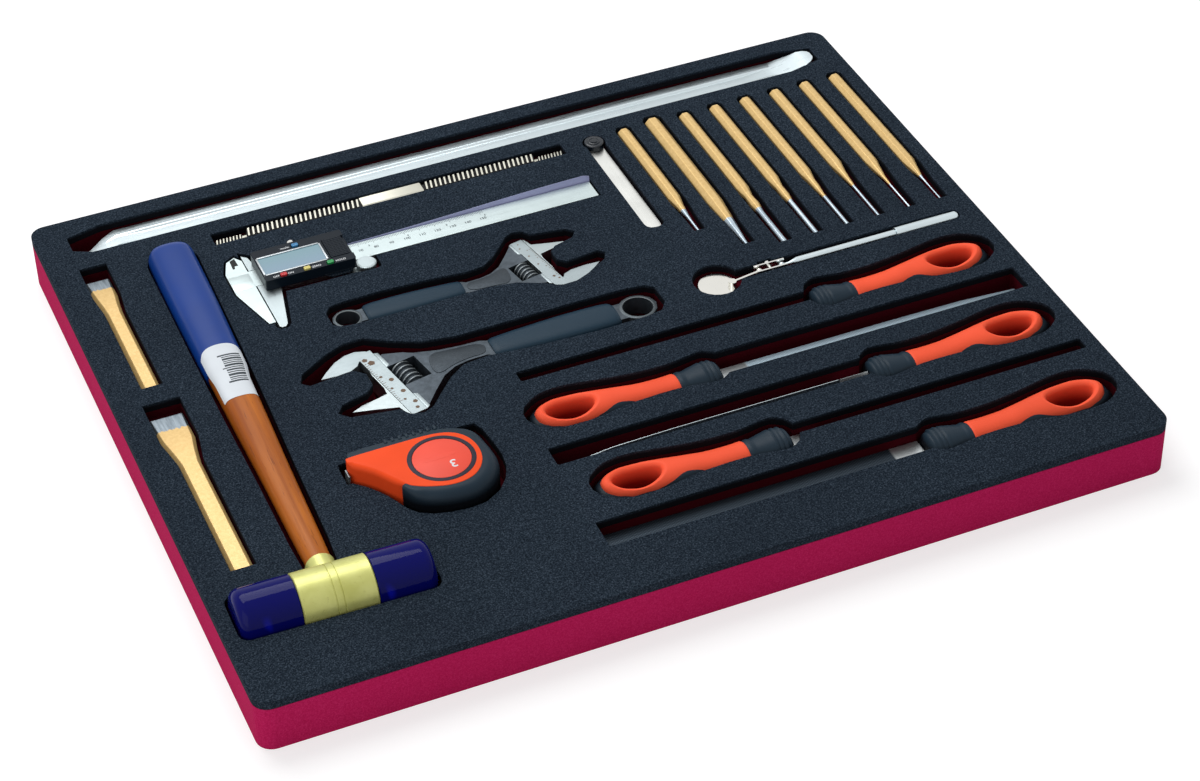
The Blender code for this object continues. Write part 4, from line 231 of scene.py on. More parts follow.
def within(made):
    """One inside the slab's skin and zero on it, round its rounded corners too."""
    over = []
    for direction, reach in (((1, 0, 0), HALF_WIDTH), ((0, 1, 0), HALF_DEPTH)):
        off = made.math("ABSOLUTE", made.along(direction))
        over.append(made.math("SUBTRACT", off, reach - SLAB_CORNER))
    squares = [made.math("POWER", made.math("MAXIMUM", value), 2) for value in over]
    outer = made.math("SQRT", made.math("ADD", *squares))
    inner = made.math("MINIMUM", made.math("MAXIMUM", *over))
    edge = made.math("SUBTRACT", made.math("ADD", outer, inner), SLAB_CORNER)
    return made.span(edge, -0.4, -0.8)


def steel(name, color, roughness, stretch=(1, 1, 1), metallic=1.0, streaks=0.08):
    """Ground or brushed steel: the streaks run along the short stretch."""
    made = Finish(name, color, roughness, metallic)
    lines = made.noise(420, 4, 0.7, stretch)
    stains = made.noise(38, 3, 0.6)
    dull = tuple(c * (1 - 2.2 * streaks) for c in color)
    worn = made.ramp(stains, (0.4, color), (0.75, dull))
    made.color(made.mix(made.span(lines, 0.3, 0.7, 0, 0.5), worn, dull))
    made.feed("Roughness", made.span(lines, 0.25, 0.75, roughness * 0.8, roughness * 1.25))
    return made.bump(lines, 0.05, 0.25)


def plastic(name, color, roughness, coat=0.0, grain=1500, depth=0.04, specular=0.2):
    made = Finish(name, color, roughness, coat=coat, specular=specular)
    fine = made.noise(grain, 3, 0.6)
    broad = made.noise(30, 2, 0.5)
    darker = tuple(c * 0.82 for c in color)
    made.color(made.mix(made.span(broad, 0.35, 0.7, 0, 0.6), color, darker))
    made.feed("Roughness", made.span(broad, 0.3, 0.7, roughness * 0.9, roughness * 1.15))
    return made.bump(fine, depth, 0.4)


def shaded_rubber(name, light, dark):
    """Black rubber with painted shade: darker from the height dark down, and as usual from light up."""
    made = Finish(name, RUBBER_BLACK, 0.42, specular=0.12)
    broad = made.span(made.noise(30, 2, 0.5), 0.35, 0.7, 0, 0.6)
    worn = made.mix(broad, RUBBER_BLACK, (0.012, 0.024, 0.037))
    painted_low_shade = made.span(made.along((0, 0, 1)), light, dark)
    made.color(made.mix(painted_low_shade, worn, (0.003, 0.004, 0.006)))
    return made.bump(made.noise(1800, 3, 0.6), 0.05, 0.4)


def painted_steel(name, edge_place, direction=(0, 1, 0), wobble=1.2, pale=1.0):
    """Gold lacquer up to edge_place along direction, and bare ground steel past it."""
    made = Finish(name, (0.75, 0.49, 0.19), 0.4)
    place = made.along(direction)
    ragged = made.noise(500, 2, 0.5, (1, 0.2, 1))
    shifted = made.math("ADD", place, made.span(ragged, 0.3, 0.7, -wobble, wobble))
    bare = made.span(shifted, edge_place - 0.4, edge_place + 0.4)
    mottle = made.noise(520, 4, 0.7)
    golds = (0.3, (0.61, 0.395, 0.14)), (0.5, (0.67, 0.45, 0.175)), (0.72, (0.73, 0.515, 0.22))
    gold = made.ramp(mottle, *golds)
    lines = made.noise(500, 4, 0.7, (1, 0.05, 1))
    low, high = (tuple(pale * c for c in color) for color in ((0.13, 0.16, 0.185), (0.3, 0.35, 0.39)))
    ground = made.ramp(lines, (0.3, low), (0.7, high))
    made.color(made.mix(bare, gold, ground))
    made.feed("Metallic", made.span(bare, 0, 1, 0.35, 0.9))
    made.feed("Roughness", made.span(bare, 0, 1, 0.4, 0.42))
    return made.bump(made.noise(700, 3, 0.6), 0.06, 0.35)


# deep is the painted shade on the pocket walls.
BLACK_FOAM = foam(
    "black_foam_cells", dark=(0.003, 0.005, 0.009), pale=(0.07, 0.093, 0.124), tone=(0.016, 0.0255, 0.038),
    deep=(0.004, 0.004, 0.006),
)
CRIMSON_FOAM = foam(
    "crimson_foam_cells", dark=(0.4, 0.007, 0.065), pale=(0.56, 0.025, 0.13), tone=(0.5, 0.012, 0.095),
    deep=(0.055, 0.001, 0.005),
)
BRIGHT = steel("bright_steel", (0.6, 0.68, 0.71), 0.3, (0.05, 1, 1), streaks=0.03)
BEAM_STEEL = steel("satin_steel", (0.5, 0.58, 0.585), 0.36, (0.04, 1, 1), streaks=0.06)
JAW_STEEL = steel("ground_steel", (0.41, 0.47, 0.485), 0.38, (1, 0.08, 1), streaks=0.06)
HOOK_STEEL = steel("hook_steel", (0.32, 0.37, 0.385), 0.42, (0.3, 1, 1))
BEZEL = steel("bezel_silver", (0.4, 0.43, 0.45), 0.35, streaks=0.05)
TOOTH_STEEL = steel("tooth_steel", (0.66, 0.65, 0.56), 0.35)
# Painted shade for grooves and notches.
PAINTED_GROOVE_SHADE = plastic("painted_groove_shade", (0.02, 0.02, 0.02), 0.7)
MIRROR_STEEL = steel("plated_steel", (0.78, 0.78, 0.75), 0.16, streaks=0.05)
FORGED = steel("forged_steel", (0.035, 0.045, 0.055), 0.46, streaks=0.12, metallic=0.75)
RING_STEEL = steel("ring_steel", (0.075, 0.09, 0.1), 0.5, streaks=0.1, metallic=0.75)
# A grey steel: the tape's blade, and a painted highlight on the wrenches' rims and worm crests.
GREY_STEEL_AND_HIGHLIGHT = steel("grey_steel_and_highlight", (0.2, 0.225, 0.235), 0.4, streaks=0.1, metallic=0.8)
RUBBER = plastic("black_rubber_skin", RUBBER_BLACK, 0.42, grain=1800, depth=0.05, specular=0.12)
GRIP_RUBBER = plastic("grip_rubber", (0.012, 0.033, 0.055), 0.42, depth=0.06, specular=0.14)
ORANGE = plastic("orange_shell", (1.0, 0.088, 0.018), 0.42, grain=900, depth=0.03, specular=0.08)
HANDLE_ORANGE = plastic("orange_handle_shell", FILE_ORANGE, 0.5, grain=900, depth=0.03, specular=0.1)
DISC_ORANGE = plastic("orange_disc", (0.95, 0.095, 0.055), 0.4, grain=700, depth=0.03)
HOUSING = plastic("housing_plastic", (0.006, 0.011, 0.018), 0.3, grain=1300, depth=0.06, specular=0.12)
BLUE_DIP = plastic("blue_dip", (0.002, 0.038, 0.235), 0.3, grain=120, specular=0.22)
RING_GREY = plastic("ring_grey", (0.035, 0.03, 0.045), 0.4, specular=0.1)
WHITE_INK = plastic("white_ink", (0.8, 0.82, 0.84), 0.5)
DARK_INK = plastic("dark_ink", (0.05, 0.06, 0.07), 0.6)


# Shapes


def smooth_step(value, low, high):
    share = min(1, max(0, (value - low) / (high - low)))
    return share * share * (3 - 2 * share)


def flow(table, place, column):
    """A smooth curve through a table's column, at this place along it."""
    last = len(table) - 1
    i = 0
    while i < last - 1 and place > table[i + 1][0]:
        i += 1
    (x0, y0), (x1, y1) = ((row[0], row[column]) for row in table[i:i + 2])

    def rise(k):
        return (table[k][column] - table[k - 1][column]) / (table[k][0] - table[k - 1][0])

    def slope(k):
        if k in (0, last) or rise(k) * rise(k + 1) <= 0:
            return 0
        return 2 * rise(k) * rise(k + 1) / (rise(k) + rise(k + 1))

    h = x1 - x0
    t = min(1, max(0, (place - x0) / h))
    a = 2 * t ** 3 - 3 * t ** 2 + 1
    b = t ** 3 - 2 * t ** 2 + t
    c = -2 * t ** 3 + 3 * t ** 2
    d = t ** 3 - t ** 2
    return a * y0 + b * h * slope(i) + c * y1 + d * h * slope(i + 1)


def rounded_off(points, times=2):
    """A closed outline with its corners cut, again and again."""
    for _ in range(times):
        made = []
        for i, (x0, y0) in enumerate(points):
            x1, y1 = points[(i + 1) % len(points)]
            made.append((x0 * 0.75 + x1 * 0.25, y0 * 0.75 + y1 * 0.25))
            made.append((x0 * 0.25 + x1 * 0.75, y0 * 0.25 + y1 * 0.75))
        points = made
    return points


def anticlockwise(points):
    pairs = zip(points, [*points[1:], points[0]])
    return points if sum(x0 * y1 - x1 * y0 for (x0, y0), (x1, y1) in pairs) > 0 else points[::-1]


def inset(points, gap):
    """The outline, run anticlockwise, moved inwards by gap, or by a gap for each point."""
    made = []
    count = len(points)
    gaps = gap if isinstance(gap, list) else [gap] * count
    spots = [Vector(point) for point in points]
    for i, spot in enumerate(spots):
        before = spot - spots[i - 1]
        after = spots[(i + 1) % count] - spot
        corner = before.orthogonal().normalized() + after.orthogonal().normalized()
        made.append(tuple(spot + corner * (gaps[i] * 2 / max(corner.length_squared, 1.6))))
    return made


def quarter(steps):
    """Angles from 0 to 90 degrees."""
    return [radians(90 * i / steps) for i in range(steps + 1)]


def circle(x, y, radius, steps, start=0.0):
    turns = [radians(start + 360 * i / steps) for i in range(steps)]
    return [(x + radius * cos(t), y + radius * sin(t)) for t in turns]


def oblong(x0, y0, x1, y1):
    return [(x0, y0), (x1, y0), (x1, y1), (x0, y1)]


def eight_corners(w, h, flat, side):
    """A rectangle with its corners cut off: flat and side are half of what is left of its edges."""
    upper = [(w, -side), (w, side), (flat, h), (-flat, h)]
    return upper + [(-x, -y) for x, y in upper]


def moved(points, x, y, turn=0.0):
    c = cos(radians(turn))
    s = sin(radians(turn))
    return [(x + c * a - s * b, y + s * a + c * b) for a, b in points]


def final_mesh(obj):
    """What the object's shape is after its modifiers."""
    bpy.context.view_layer.update()
    graph = bpy.context.evaluated_depsgraph_get()
    return bpy.data.meshes.new_from_object(obj.evaluated_get(graph))


def shade(mesh, angle):
    mesh.shade_smooth()
    mesh.set_sharp_from_angle(angle=radians(angle))


class Build:
    """Vertices and faces of a piece, drawn in millimetres, with the finish of each face."""

    def __init__(self, place=None):
        self.verts = []
        self.faces = []
        self.picks = []
        self.place = place or Matrix.Identity(4)

    def add(self, verts, faces, pick=0):
        start = len(self.verts)
        self.verts += [tuple(self.place @ Vector(v) * MM) for v in verts]
        self.faces += [tuple(start + i for i in face) for face in faces]
        self.picks += [pick] * len(faces) if isinstance(pick, int) else list(pick)

    def loft(self, rings, pick=0, caps=True):
        count = len(rings[0])
        verts = [v for ring in rings for v in ring]
        choose = pick if callable(pick) else lambda row, i: pick
        faces = []
        picks = []
        for row in range(len(rings) - 1):
            a, b = row * count, (row + 1) * count
            for i in range(count):
                j = (i + 1) % count
                faces.append((a + i, a + j, b + j, b + i))
                picks.append(choose(row, i))
        if caps:
            faces.append(tuple(range(count))[::-1])
            faces.append(tuple(range(count * (len(rings) - 1), count * len(rings))))
            picks += [choose(0, 0), choose(len(rings) - 2, 0)]
        self.add(verts, faces, picks)

    def turn(self, profile, steps, place, pick=0, caps=True):
        """profile is (radius, height) pairs, turned round local Z and set by place."""
        rings = []
        for radius, height in profile:
            ring = circle(0, 0, max(radius, 0.01), steps)
            rings.append([place @ Vector((x, y, height)) for x, y in ring])
        self.loft(rings, pick, caps)

    def plate(self, outline, low, high, edge=0.0, steps=3, pick=0):
        """A flat outline drawn up from low to high, with its upper and lower edges rounded."""
        outline = anticlockwise(outline)

        def rounded(height, edge):
            rings = []
            for t in quarter(steps) if edge else [math.pi / 2]:
                points = inset(outline, abs(edge) * (1 - sin(t)))
                rings.append([(x, y, height + edge * (1 - cos(t))) for x, y in points])
            return rings

        self.loft(rounded(low, edge) + rounded(high, -edge)[::-1], pick)

    def cushion(self, outline, low, high, softness):
        """A plate whose upper edge is rounded by softness(x, y), run anticlockwise."""
        soft = [softness(x, y) for x, y in outline]
        rings = [[(x, y, low) for x, y in outline]]
        for t in quarter(8):
            points = inset(outline, [s * (1 - cos(t)) for s in soft])
            rings.append([(x, y, high - 1.15 * s * (1 - sin(t))) for (x, y), s in zip(points, soft)])
        self.loft(rings)

    def text(self, words, x, y, z, size, turn=0.0, pick=0):
        data = bpy.data.curves.new("words", "FONT")
        data.body = words
        data.size = size * MM
        data.offset = 0.012 * size * MM
        data.align_x = "CENTER"
        data.align_y = "CENTER"
        data.extrude = 0.02 * MM
        obj = put_in("words", data)
        obj.location = Vector((x, y, z)) * MM
        obj.rotation_euler.z = radians(turn)
        mesh = final_mesh(obj)
        mesh.transform(obj.matrix_world)
        self.add([v.co / MM for v in mesh.vertices], [tuple(p.vertices) for p in mesh.polygons], pick)
        bpy.data.objects.remove(obj)

    def mesh(self, name, finishes):
        mesh = bpy.data.meshes.new(name)
        mesh.from_pydata(self.verts, [], self.faces)
        for finish in finishes if isinstance(finishes, list) else [finishes]:
            mesh.materials.append(finish.material)
        mesh.polygons.foreach_set("material_index", self.picks)
        work = bmesh.new()
        work.from_mesh(mesh)
        bmesh.ops.remove_doubles(work, verts=work.verts, dist=WELD)
        bmesh.ops.recalc_face_normals(work, faces=work.faces)
        work.to_mesh(mesh)
        work.free()
        return mesh

    def piece(self, name, body, finishes, smooth=35, stands_for=()):
        mesh = self.mesh(name, finishes)
        if smooth:
            shade(mesh, smooth)
        obj = put_in(name, mesh)
        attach(obj, body)
        if stands_for:
            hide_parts(*stands_for)
        return obj


def modify(obj, kind, **settings):
    modifier = obj.modifiers.new(kind.lower(), kind)
    for key, value in settings.items():
        setattr(modifier, key, value)


def cut_away(obj, other):
    """Takes other away from obj and makes the result its mesh."""
    modify(obj, "BOOLEAN", operation="DIFFERENCE", solver="EXACT", object=other)
    mesh = final_mesh(obj)
    obj.modifiers.clear()
    obj.data = mesh
    bpy.data.objects.remove(other)
    return mesh


def dress(node, finish, edge=0.3, steps=2, angle=28):
    """A solid keeps its shape and gets a finish and softened edges."""
    obj = NODES[node]
    obj.data.materials.clear()
    obj.data.materials.append(finish.material)
    if not edge:
        return
    modify(obj, "WELD", merge_threshold=WELD)
    modify(obj, "DECIMATE", decimate_type="DISSOLVE", angle_limit=radians(0.5))
    modify(
        obj, "BEVEL", width=edge * MM, segments=steps, limit_method="ANGLE", angle_limit=radians(angle),
        use_clamp_overlap=True, miter_outer="MITER_ARC",
    )
    modify(obj, "WEIGHTED_NORMAL", keep_sharp=False, weight=50)


# Foam, pry bar and thread file

dress("foam_top", BLACK_FOAM, 0)
dress("foam_base", CRIMSON_FOAM, 0)
dress("pry_bar", BRIGHT, 0.35, 3, 9)


def make_thread_file():
    build = Build()
    y, middle = 168.5, TOP - 5.65
    left, block_left = -168.8, -73.55
    block_right, right = -33.05, 62.2

    def square(x, side, slant=0.0):
        a = side / 2
        c = side / 9
        points = eight_corners(a, a, a - c, a - c)
        pairs = zip((0.5, -0.5, 0, 1, 1, -0.2, 0.3, 1.3), points[6:] + points[:6])
        return [(x + lean * slant, y + u, middle + v) for lean, (u, v) in pairs]

    def teeth(start, end, side, depth, count):
        pitch = (end - start) / count
        root = side - 2 * depth
        rings = []
        for i in range(count):
            for place, size in ((0.02, root), (0.3, side), (0.66, side), (0.98, root)):
                rings.append(square(start + pitch * (i + place), size, pitch * 0.45))
        # Painted shade: only the crest faces on alternate sides of each tooth are tooth steel, and the
        # flanks, valleys and other faces get the painted groove shade.
        build.loft(rings, lambda row, i: 0 if row % 4 == 1 and i % 2 == 0 else 1)

    teeth(left, -151.8, 5.6, 0.75, 8)
    teeth(-149, block_left - 1.2, 9.9, 1.15, 24)
    teeth(block_right + 1.2, 42.4, 9.9, 1.15, 24)
    teeth(45.2, right, 5.6, 0.75, 8)
    block = (block_left, 10), (block_left + 0.5, 10.5), (block_right - 0.5, 10.5), (block_right, 10)
    build.loft([square(x, side) for x, side in block])
    # The short necks beside the middle block get the painted groove shade, and the end necks tooth steel.
    for start, end, side, pick in (
        (-153, -148, 3.6, 0), (41, 46, 3.6, 0),
        (block_left - 2.5, block_left, 7.6, 1), (block_right, block_right + 2.5, 7.6, 1),
    ):
        build.loft([square(start, side), square(end, side)], pick)
    finishes = [TOOTH_STEEL, PAINTED_GROOVE_SHADE]
    build.piece("thread_file_teeth", "thread_file", finishes, 30, ["thread_file"])


make_thread_file()

# Caliper

BEAM_TOP = TOP - 0.5
HOUSING_TOP = TOP + 7


def make_caliper():
    for node, finish, edge, steps in (
        ("beam", BEAM_STEEL, 0.25, 2), ("slider", JAW_STEEL, 0.25, 2), ("housing", HOUSING, 0.5, 3),
        ("battery_cover", HOUSING, 0.2, 2), ("lock_screw", MIRROR_STEEL, 0.2, 2),
        ("thumb_wheel", JAW_STEEL, 0.35, 2),
    ):
        dress("caliper_" + node, finish, edge, steps)
    glass = Finish("display_glass_pane", (0.24, 0.37, 0.48), 0.2, coat=1.0)
    tints = (0, (0.16, 0.27, 0.37)), (0.115, (0.19, 0.31, 0.41)), (0.128, (0.16, 0.31, 0.36))
    # Painted reflection: the pane's colour changes from its front to its back. The places of the tints are in
    # metres.
    glass.color(glass.ramp(glass.along((0, MM, 0)), *tints))
    dress("caliper_display", glass, 0)
    for name, color in (
        ("power", (0.55, 0.015, 0.02)), ("zero", (0.72, 0.62, 0.18)),
        ("hold", (0.01, 0.3, 0.07)), ("unit", (0.03, 0.2, 0.42)),
    ):
        dress(f"caliper_{name}_button", plastic(name + "_button_plastic", color, 0.3, coat=0.5), 0.45, 3)
    marks = Build()
    zero, z = -160.5, BEAM_TOP + 0.01
    for step in range(64, 153):
        x = zero + step
        reach = 3.6 if step % 10 == 0 else 3 if step % 5 == 0 else 2.2
        marks.plate(oblong(x - 0.12, 128.6 - reach, x + 0.12, 128.6), z - 0.02, z + 0.01)
        if step % 10 == 0:
            marks.text(str(step), x, 120.6, z, 3)
    for count in range(3, 7):
        marks.text(str(count), zero + count * 25.4, 123.4, z, 2.4)
    marks.piece("caliper_scale", "caliper", DARK_INK, 0)
    strip = Build()
    strip.plate(oblong(-173.4, 112.7, -160.4, 127.2), BEAM_TOP - 0.1, BEAM_TOP + 0.06, 0.03)
    # Painted shade: a thin dark plate on the beam stands for the notch between the inner jaws.
    groove = [(-167.8, 134.8), (-166.4, 134.8), (-165.9, 137.4), (-163.6, 137.4), (-163.9, 145)]
    strip.plate([*groove, (-167.4, 143.4)], BEAM_TOP - 0.1, BEAM_TOP + 0.03, pick=1)
    strip.piece("caliper_jaw_relief", "caliper", [BEAM_STEEL, PAINTED_GROOVE_SHADE], 30)
    trim = Build()
    left, right, front, back = -154.9, -113.9, 110.7, 129.7
    wide = 1.1
    for bar in (
        (left, front, right, front + wide), (left, back - wide, right, back),
        (left, front, left + wide, back), (right - wide, front, right, back),
    ):
        trim.plate(oblong(*bar), HOUSING_TOP - 0.6, HOUSING_TOP + 0.25, 0.12)
    trim.piece("caliper_bezel", "caliper_slider", BEZEL)
    dots = Build()
    for row in range(11):
        for column in range(6):
            x = -110.9 + column * 1.95
            y = 113.2 + row * 1.65
            dot = oblong(x - 0.75, y - 0.42, x + 0.75, y + 0.42)
            dots.plate(dot, HOUSING_TOP + 0.2, HOUSING_TOP + 0.5, 0.12, 1)
    dots.piece("caliper_cover_grip", "caliper_battery_cover", HOUSING)
    words = Build()
    for text, x, y in (
        ("OFF", -148.4, 107.5), ("ON", -139.3, 107.5), ("ZERO", -123, 107.5), ("HOLD", -107.6, 107.5),
        ("mm/in", -135, 132.7),
    ):
        words.text(text, x, y, HOUSING_TOP + 0.01, 2.3)
    words.piece("caliper_key_words", "caliper_slider", WHITE_INK, 0)
    ribs = Build()
    for i in range(9):
        x = -116.2 + i * 1.7
        reach = 101.5 + 0.35 * max(0, abs(i - 4) - 2)
        ribs.plate(oblong(x - 0.45, reach, x + 0.45, 104.4), TOP, TOP + 1.1, 0.3, 2)
    ribs.piece("caliper_thumb_ribs", "caliper_slider", HOUSING)
    knurl = Build()
    for x, y in circle(-92, 106.9, 5.95, 30):
        ridge = Matrix.Translation((x, y, TOP - 2.1))
        knurl.turn([(0, 0), (0.38, 0), (0.38, 2.5), (0, 2.5)], 6, ridge)
    cap = Matrix.Translation((-92, 106.9, TOP))
    knurl.turn([(0, 0.7), (5.3, 0.7), (5.3, 0.85), (5.1, 1), (0, 1)], 64, cap)
    knurl.piece("caliper_wheel_knurl", "caliper_thumb_wheel", JAW_STEEL)
    film = Build()
    rings = []
    for i in range(41):
        share = i / 40
        x = -96 + 161 * share
        rise = 0.5 + 3.6 * smooth_step(share, 0.02, 1)
        if share > 0.975:
            rise *= 0.75
        near, low, high = 129.75, BEAM_TOP - 2.4, BEAM_TOP + rise
        far = near + rise * 0.28
        rings.append([(x, near, low), (x, near + 0.12, low), (x, far + 0.12, high), (x, far, high)])
    film.loft(rings)
    violet = plastic("violet_film", (0.42, 0.44, 0.7), 0.25, grain=60, depth=0.2, specular=0.5)
    film.piece("caliper_edge_film", "caliper", violet, 30)


make_caliper()

# Adjustable wrenches

# Shares of the wrench's length: the ends of its jaw bar, its hanging hole and its worm.
HEEL = Vector((0.758, 0.172))
TOE = Vector((0.81, -0.1))
HANG_HOLE = (0.055, 0)
WORM = (0.7303, 0)
SIDEWAYS = Matrix.Rotation(radians(90), 4, "Y")


def make_wrench(prefix, length, x, y, turn, mid):
    middle = TOP + mid
    half = 0.028 * length
    slide = (TOE - HEEL).normalized()
    across = Vector((-slide.y, slide.x))

    def place(points):
        return moved([(a * length, b * length) for a, b in points], x, y, turn)

    body = Finish(prefix + "_forged", (0.1, 0.11, 0.116), 0.45, 0.7)
    (across_x, across_y), = moved([across], 0, 0, turn)
    (line_x, line_y), = place([TOE + across * 0.012])
    edge_place = line_x * across_x + line_y * across_y
    grain = body.noise(260, 4, 0.65)
    stains = body.noise(45, 3, 0.6)
    dark = body.ramp(grain, (0.3, (0.03, 0.04, 0.05)), (0.7, (0.065, 0.082, 0.1)))
    dark = body.mix(body.span(stains, 0.4, 0.7, 0, 0.5), dark, (0.085, 0.105, 0.122))
    polished = body.span(body.along((across_x, across_y, 0)), edge_place, edge_place + 0.6)
    body.color(body.mix(polished, dark, (0.38, 0.43, 0.44)))
    body.feed("Metallic", body.span(polished, 0, 1, 0.7, 1.0))
    body.feed("Roughness", body.span(polished, 0, 1, 0.45, 0.33))
    body.bump(grain, 0.12, 0.4)
    dress(prefix + "_body", body, 0.6, 3, 24)
    dress(prefix + "_jaw", HOOK_STEEL, 0.4, 3, 24)

    rim = Build()
    panel = (
        (0.505, 0.013), (0.56, 0.013), (0.61, 0.024), (0.65, 0.044),
        (0.666, 0.03), (0.656, -0.042), (0.6, -0.036), (0.505, -0.03),
    )
    outline = place(rounded_off(panel, 2))
    # Painted highlight: the raised rim round the panel and the top inner edge of the hanging hole's ring get
    # the grey steel, while the panel inside and the ring's walls are dark.
    rim.plate(outline, middle + half - 0.5, middle + half + 0.25, 0.25)
    rim.plate(inset(outline, 0.55), middle + half, middle + half + 0.3, 0.05, pick=1)
    (hole_x, hole_y), = place([HANG_HOLE])
    outer, inner = 0.053 * length, 0.0425 * length
    ring = [
        (inner, half), (inner + 0.3, half + 0.3), (outer - 0.9, half + 0.3), (outer - 0.3, half),
        (outer, half - 1.2), (outer, -half), (inner, -half), (inner, half),
    ]
    seat = Matrix.Translation((hole_x, hole_y, middle))
    rim.turn(ring, 64, seat, lambda row, i: 2 if row else 0, caps=False)
    rim.piece(prefix + "_forging_lines", prefix, [GREY_STEEL_AND_HIGHLIGHT, FORGED, RING_STEEL])

    spots = Build()
    high = middle + half
    # Blots: share along the jaw bar, share to its side, radius and number of corners.
    for share, off, size, shape in (
        (0.07, -0.004, 1.6, 7), (0.16, -0.012, 1.9, 7), (0.24, 0.006, 1.2, 6), (0.36, -0.008, 2, 8),
        (0.45, 0.012, 1.2, 7), (0.57, -0.006, 2, 8), (0.66, 0.012, 1.3, 7), (0.9, 0.002, 3, 5),
        (0.97, 0.012, 2.3, 5),
    ):
        centre = HEEL.lerp(TOE, share) + across * off
        if prefix == "small_wrench":
            size *= 0.55
        (sx, sy), = place([centre])
        spots.plate(circle(sx, sy, size * length / 217 * 0.8, shape, 20), high - 0.01, high + 0.02)
    for i in range(22):
        a = HEEL.lerp(TOE, 0.24 + 0.032 * i) + across * 0.0225
        b = a - across * (0.0065 if i % 5 else 0.0105)
        thin = slide * 0.0009
        spots.plate(place([a - thin, a + thin, b + thin, b - thin]), high - 0.01, high + 0.02)
    rust = plastic(prefix + "_etched_marks", (0.17, 0.11, 0.075), 0.6)
    spots.piece(prefix + "_jaw_scale", prefix + "_jaw", rust, 0)

    pads = Build()
    for low, high in ((0.0, 0.27), (0.76, 1.02)):
        a, b = (HEEL.lerp(TOE, share) - across * 0.023 for share in (low, high))
        corners = [a, b, b - across * 0.012 - slide * 0.006, a - across * 0.012 + slide * 0.006]
        pads.plate(place(corners), middle + half - 1.2, middle + half + 0.1, 0.3)
    pads.piece(prefix + "_jaw_guides", prefix + "_jaw", HOOK_STEEL)

    (worm_x, worm_y), = place([WORM])
    spin = Matrix.Rotation(math.atan2(slide.y, slide.x) + radians(turn), 4, "Z")
    seat = Matrix.Translation((worm_x, worm_y, middle)) @ spin @ SIDEWAYS
    radius, reach = 0.034 * length, 0.043 * length
    pitch = reach / 2.3
    rows, columns = 96, 48
    rings = []
    crests = []
    for row in range(rows + 1):
        height = -reach + 2 * reach * row / rows
        ring = []
        for column in range(columns):
            angle = 2 * math.pi * column / columns
            phase = (height / pitch - column / columns) % 1
            ridge = smooth_step(phase, 0.2, 0.42) - smooth_step(phase, 0.58, 0.8)
            fade = smooth_step(abs(height), reach, reach * 0.9)
            size = radius * (0.8 + 0.2 * ridge * fade) * (1 - 0.06 * (1 - fade))
            ring.append(seat @ Vector((size * cos(angle), size * sin(angle), height)))
            crests.append(ridge * fade)
        rings.append(ring)
    worm = Build()
    # Painted highlight: the faces at the crests of the thread get the grey steel, and the rest is dark.
    worm.loft(rings, lambda row, i: 1 if crests[row * columns + i] > 0.9 else 0)
    node = prefix + "_worm"
    worm.piece(node + "_thread", node, [FORGED, GREY_STEEL_AND_HIGHLIGHT], 50, [node])

    grip = Build()
    start, end = 0.12 * length, 0.487 * length
    table = ((0, 0.84), (0.03, 0.92), (0.12, 0.98), (0.35, 1.0), (0.7, 0.92), (0.97, 0.8), (1, 0.74))
    rings = []
    for i in range(49):
        share = i / 48
        wide = flow(table, share, 1)
        a = 0.056 * length * wide
        b = 0.043 * length * (0.4 + 0.6 * wide)
        if share < 0.012 or share > 0.988:
            a *= 0.95
            b *= 0.93
        corner = rounded_off(eight_corners(a, b, a * 0.74, b * 0.45), 2)
        u = start + (end - start) * share
        flat = moved([(u, v) for v, _ in corner], x, y, turn)
        rings.append([(px, py, middle + w) for (px, py), (_, w) in zip(flat, corner)])
    grip.loft(rings)
    grip.piece(prefix + "_grip_sleeve", prefix, GRIP_RUBBER, 40, [prefix + "_grip"])


make_wrench("small_wrench", 170, -128.6, 64.2, 0, -8.5)
make_wrench("large_wrench", 217, 54.5, 3.6, 180, -10.5)

# Tape measure

TAPE_BUMPER_SHARES = (
    (0.02, 0.958), (0.02, 0.83), (0.25, 0.64), (0.4, 0.46), (0.36, 0.34), (0.262, 0.302),
    (0.3, 0.17), (0.35, 0.085), (0.44, 0.015), (0.55, -0.03), (0.68, -0.052), (0.8, -0.036),
    (0.92, 0.06), (1, 0.19), (1.036, 0.33), (1.034, 0.48), (1.02, 0.64), (0.995, 0.74),
    (0.945, 0.815), (0.86, 0.872), (0.74, 0.925), (0.6, 0.955), (0.4, 0.958),
)
TAPE_ORANGE_SHARES = (
    (0.012, 0.868), (0, 0.845), (0, 0.785), (0.04, 0.722), (0.105, 0.64), (0.172, 0.53),
    (0.22, 0.42), (0.27, 0.32), (0.33, 0.24), (0.44, 0.155), (0.62, 0.078), (0.79, 0.115),
    (0.9, 0.27), (0.938, 0.48), (0.905, 0.69), (0.81, 0.82), (0.66, 0.872), (0.34, 0.872),
)


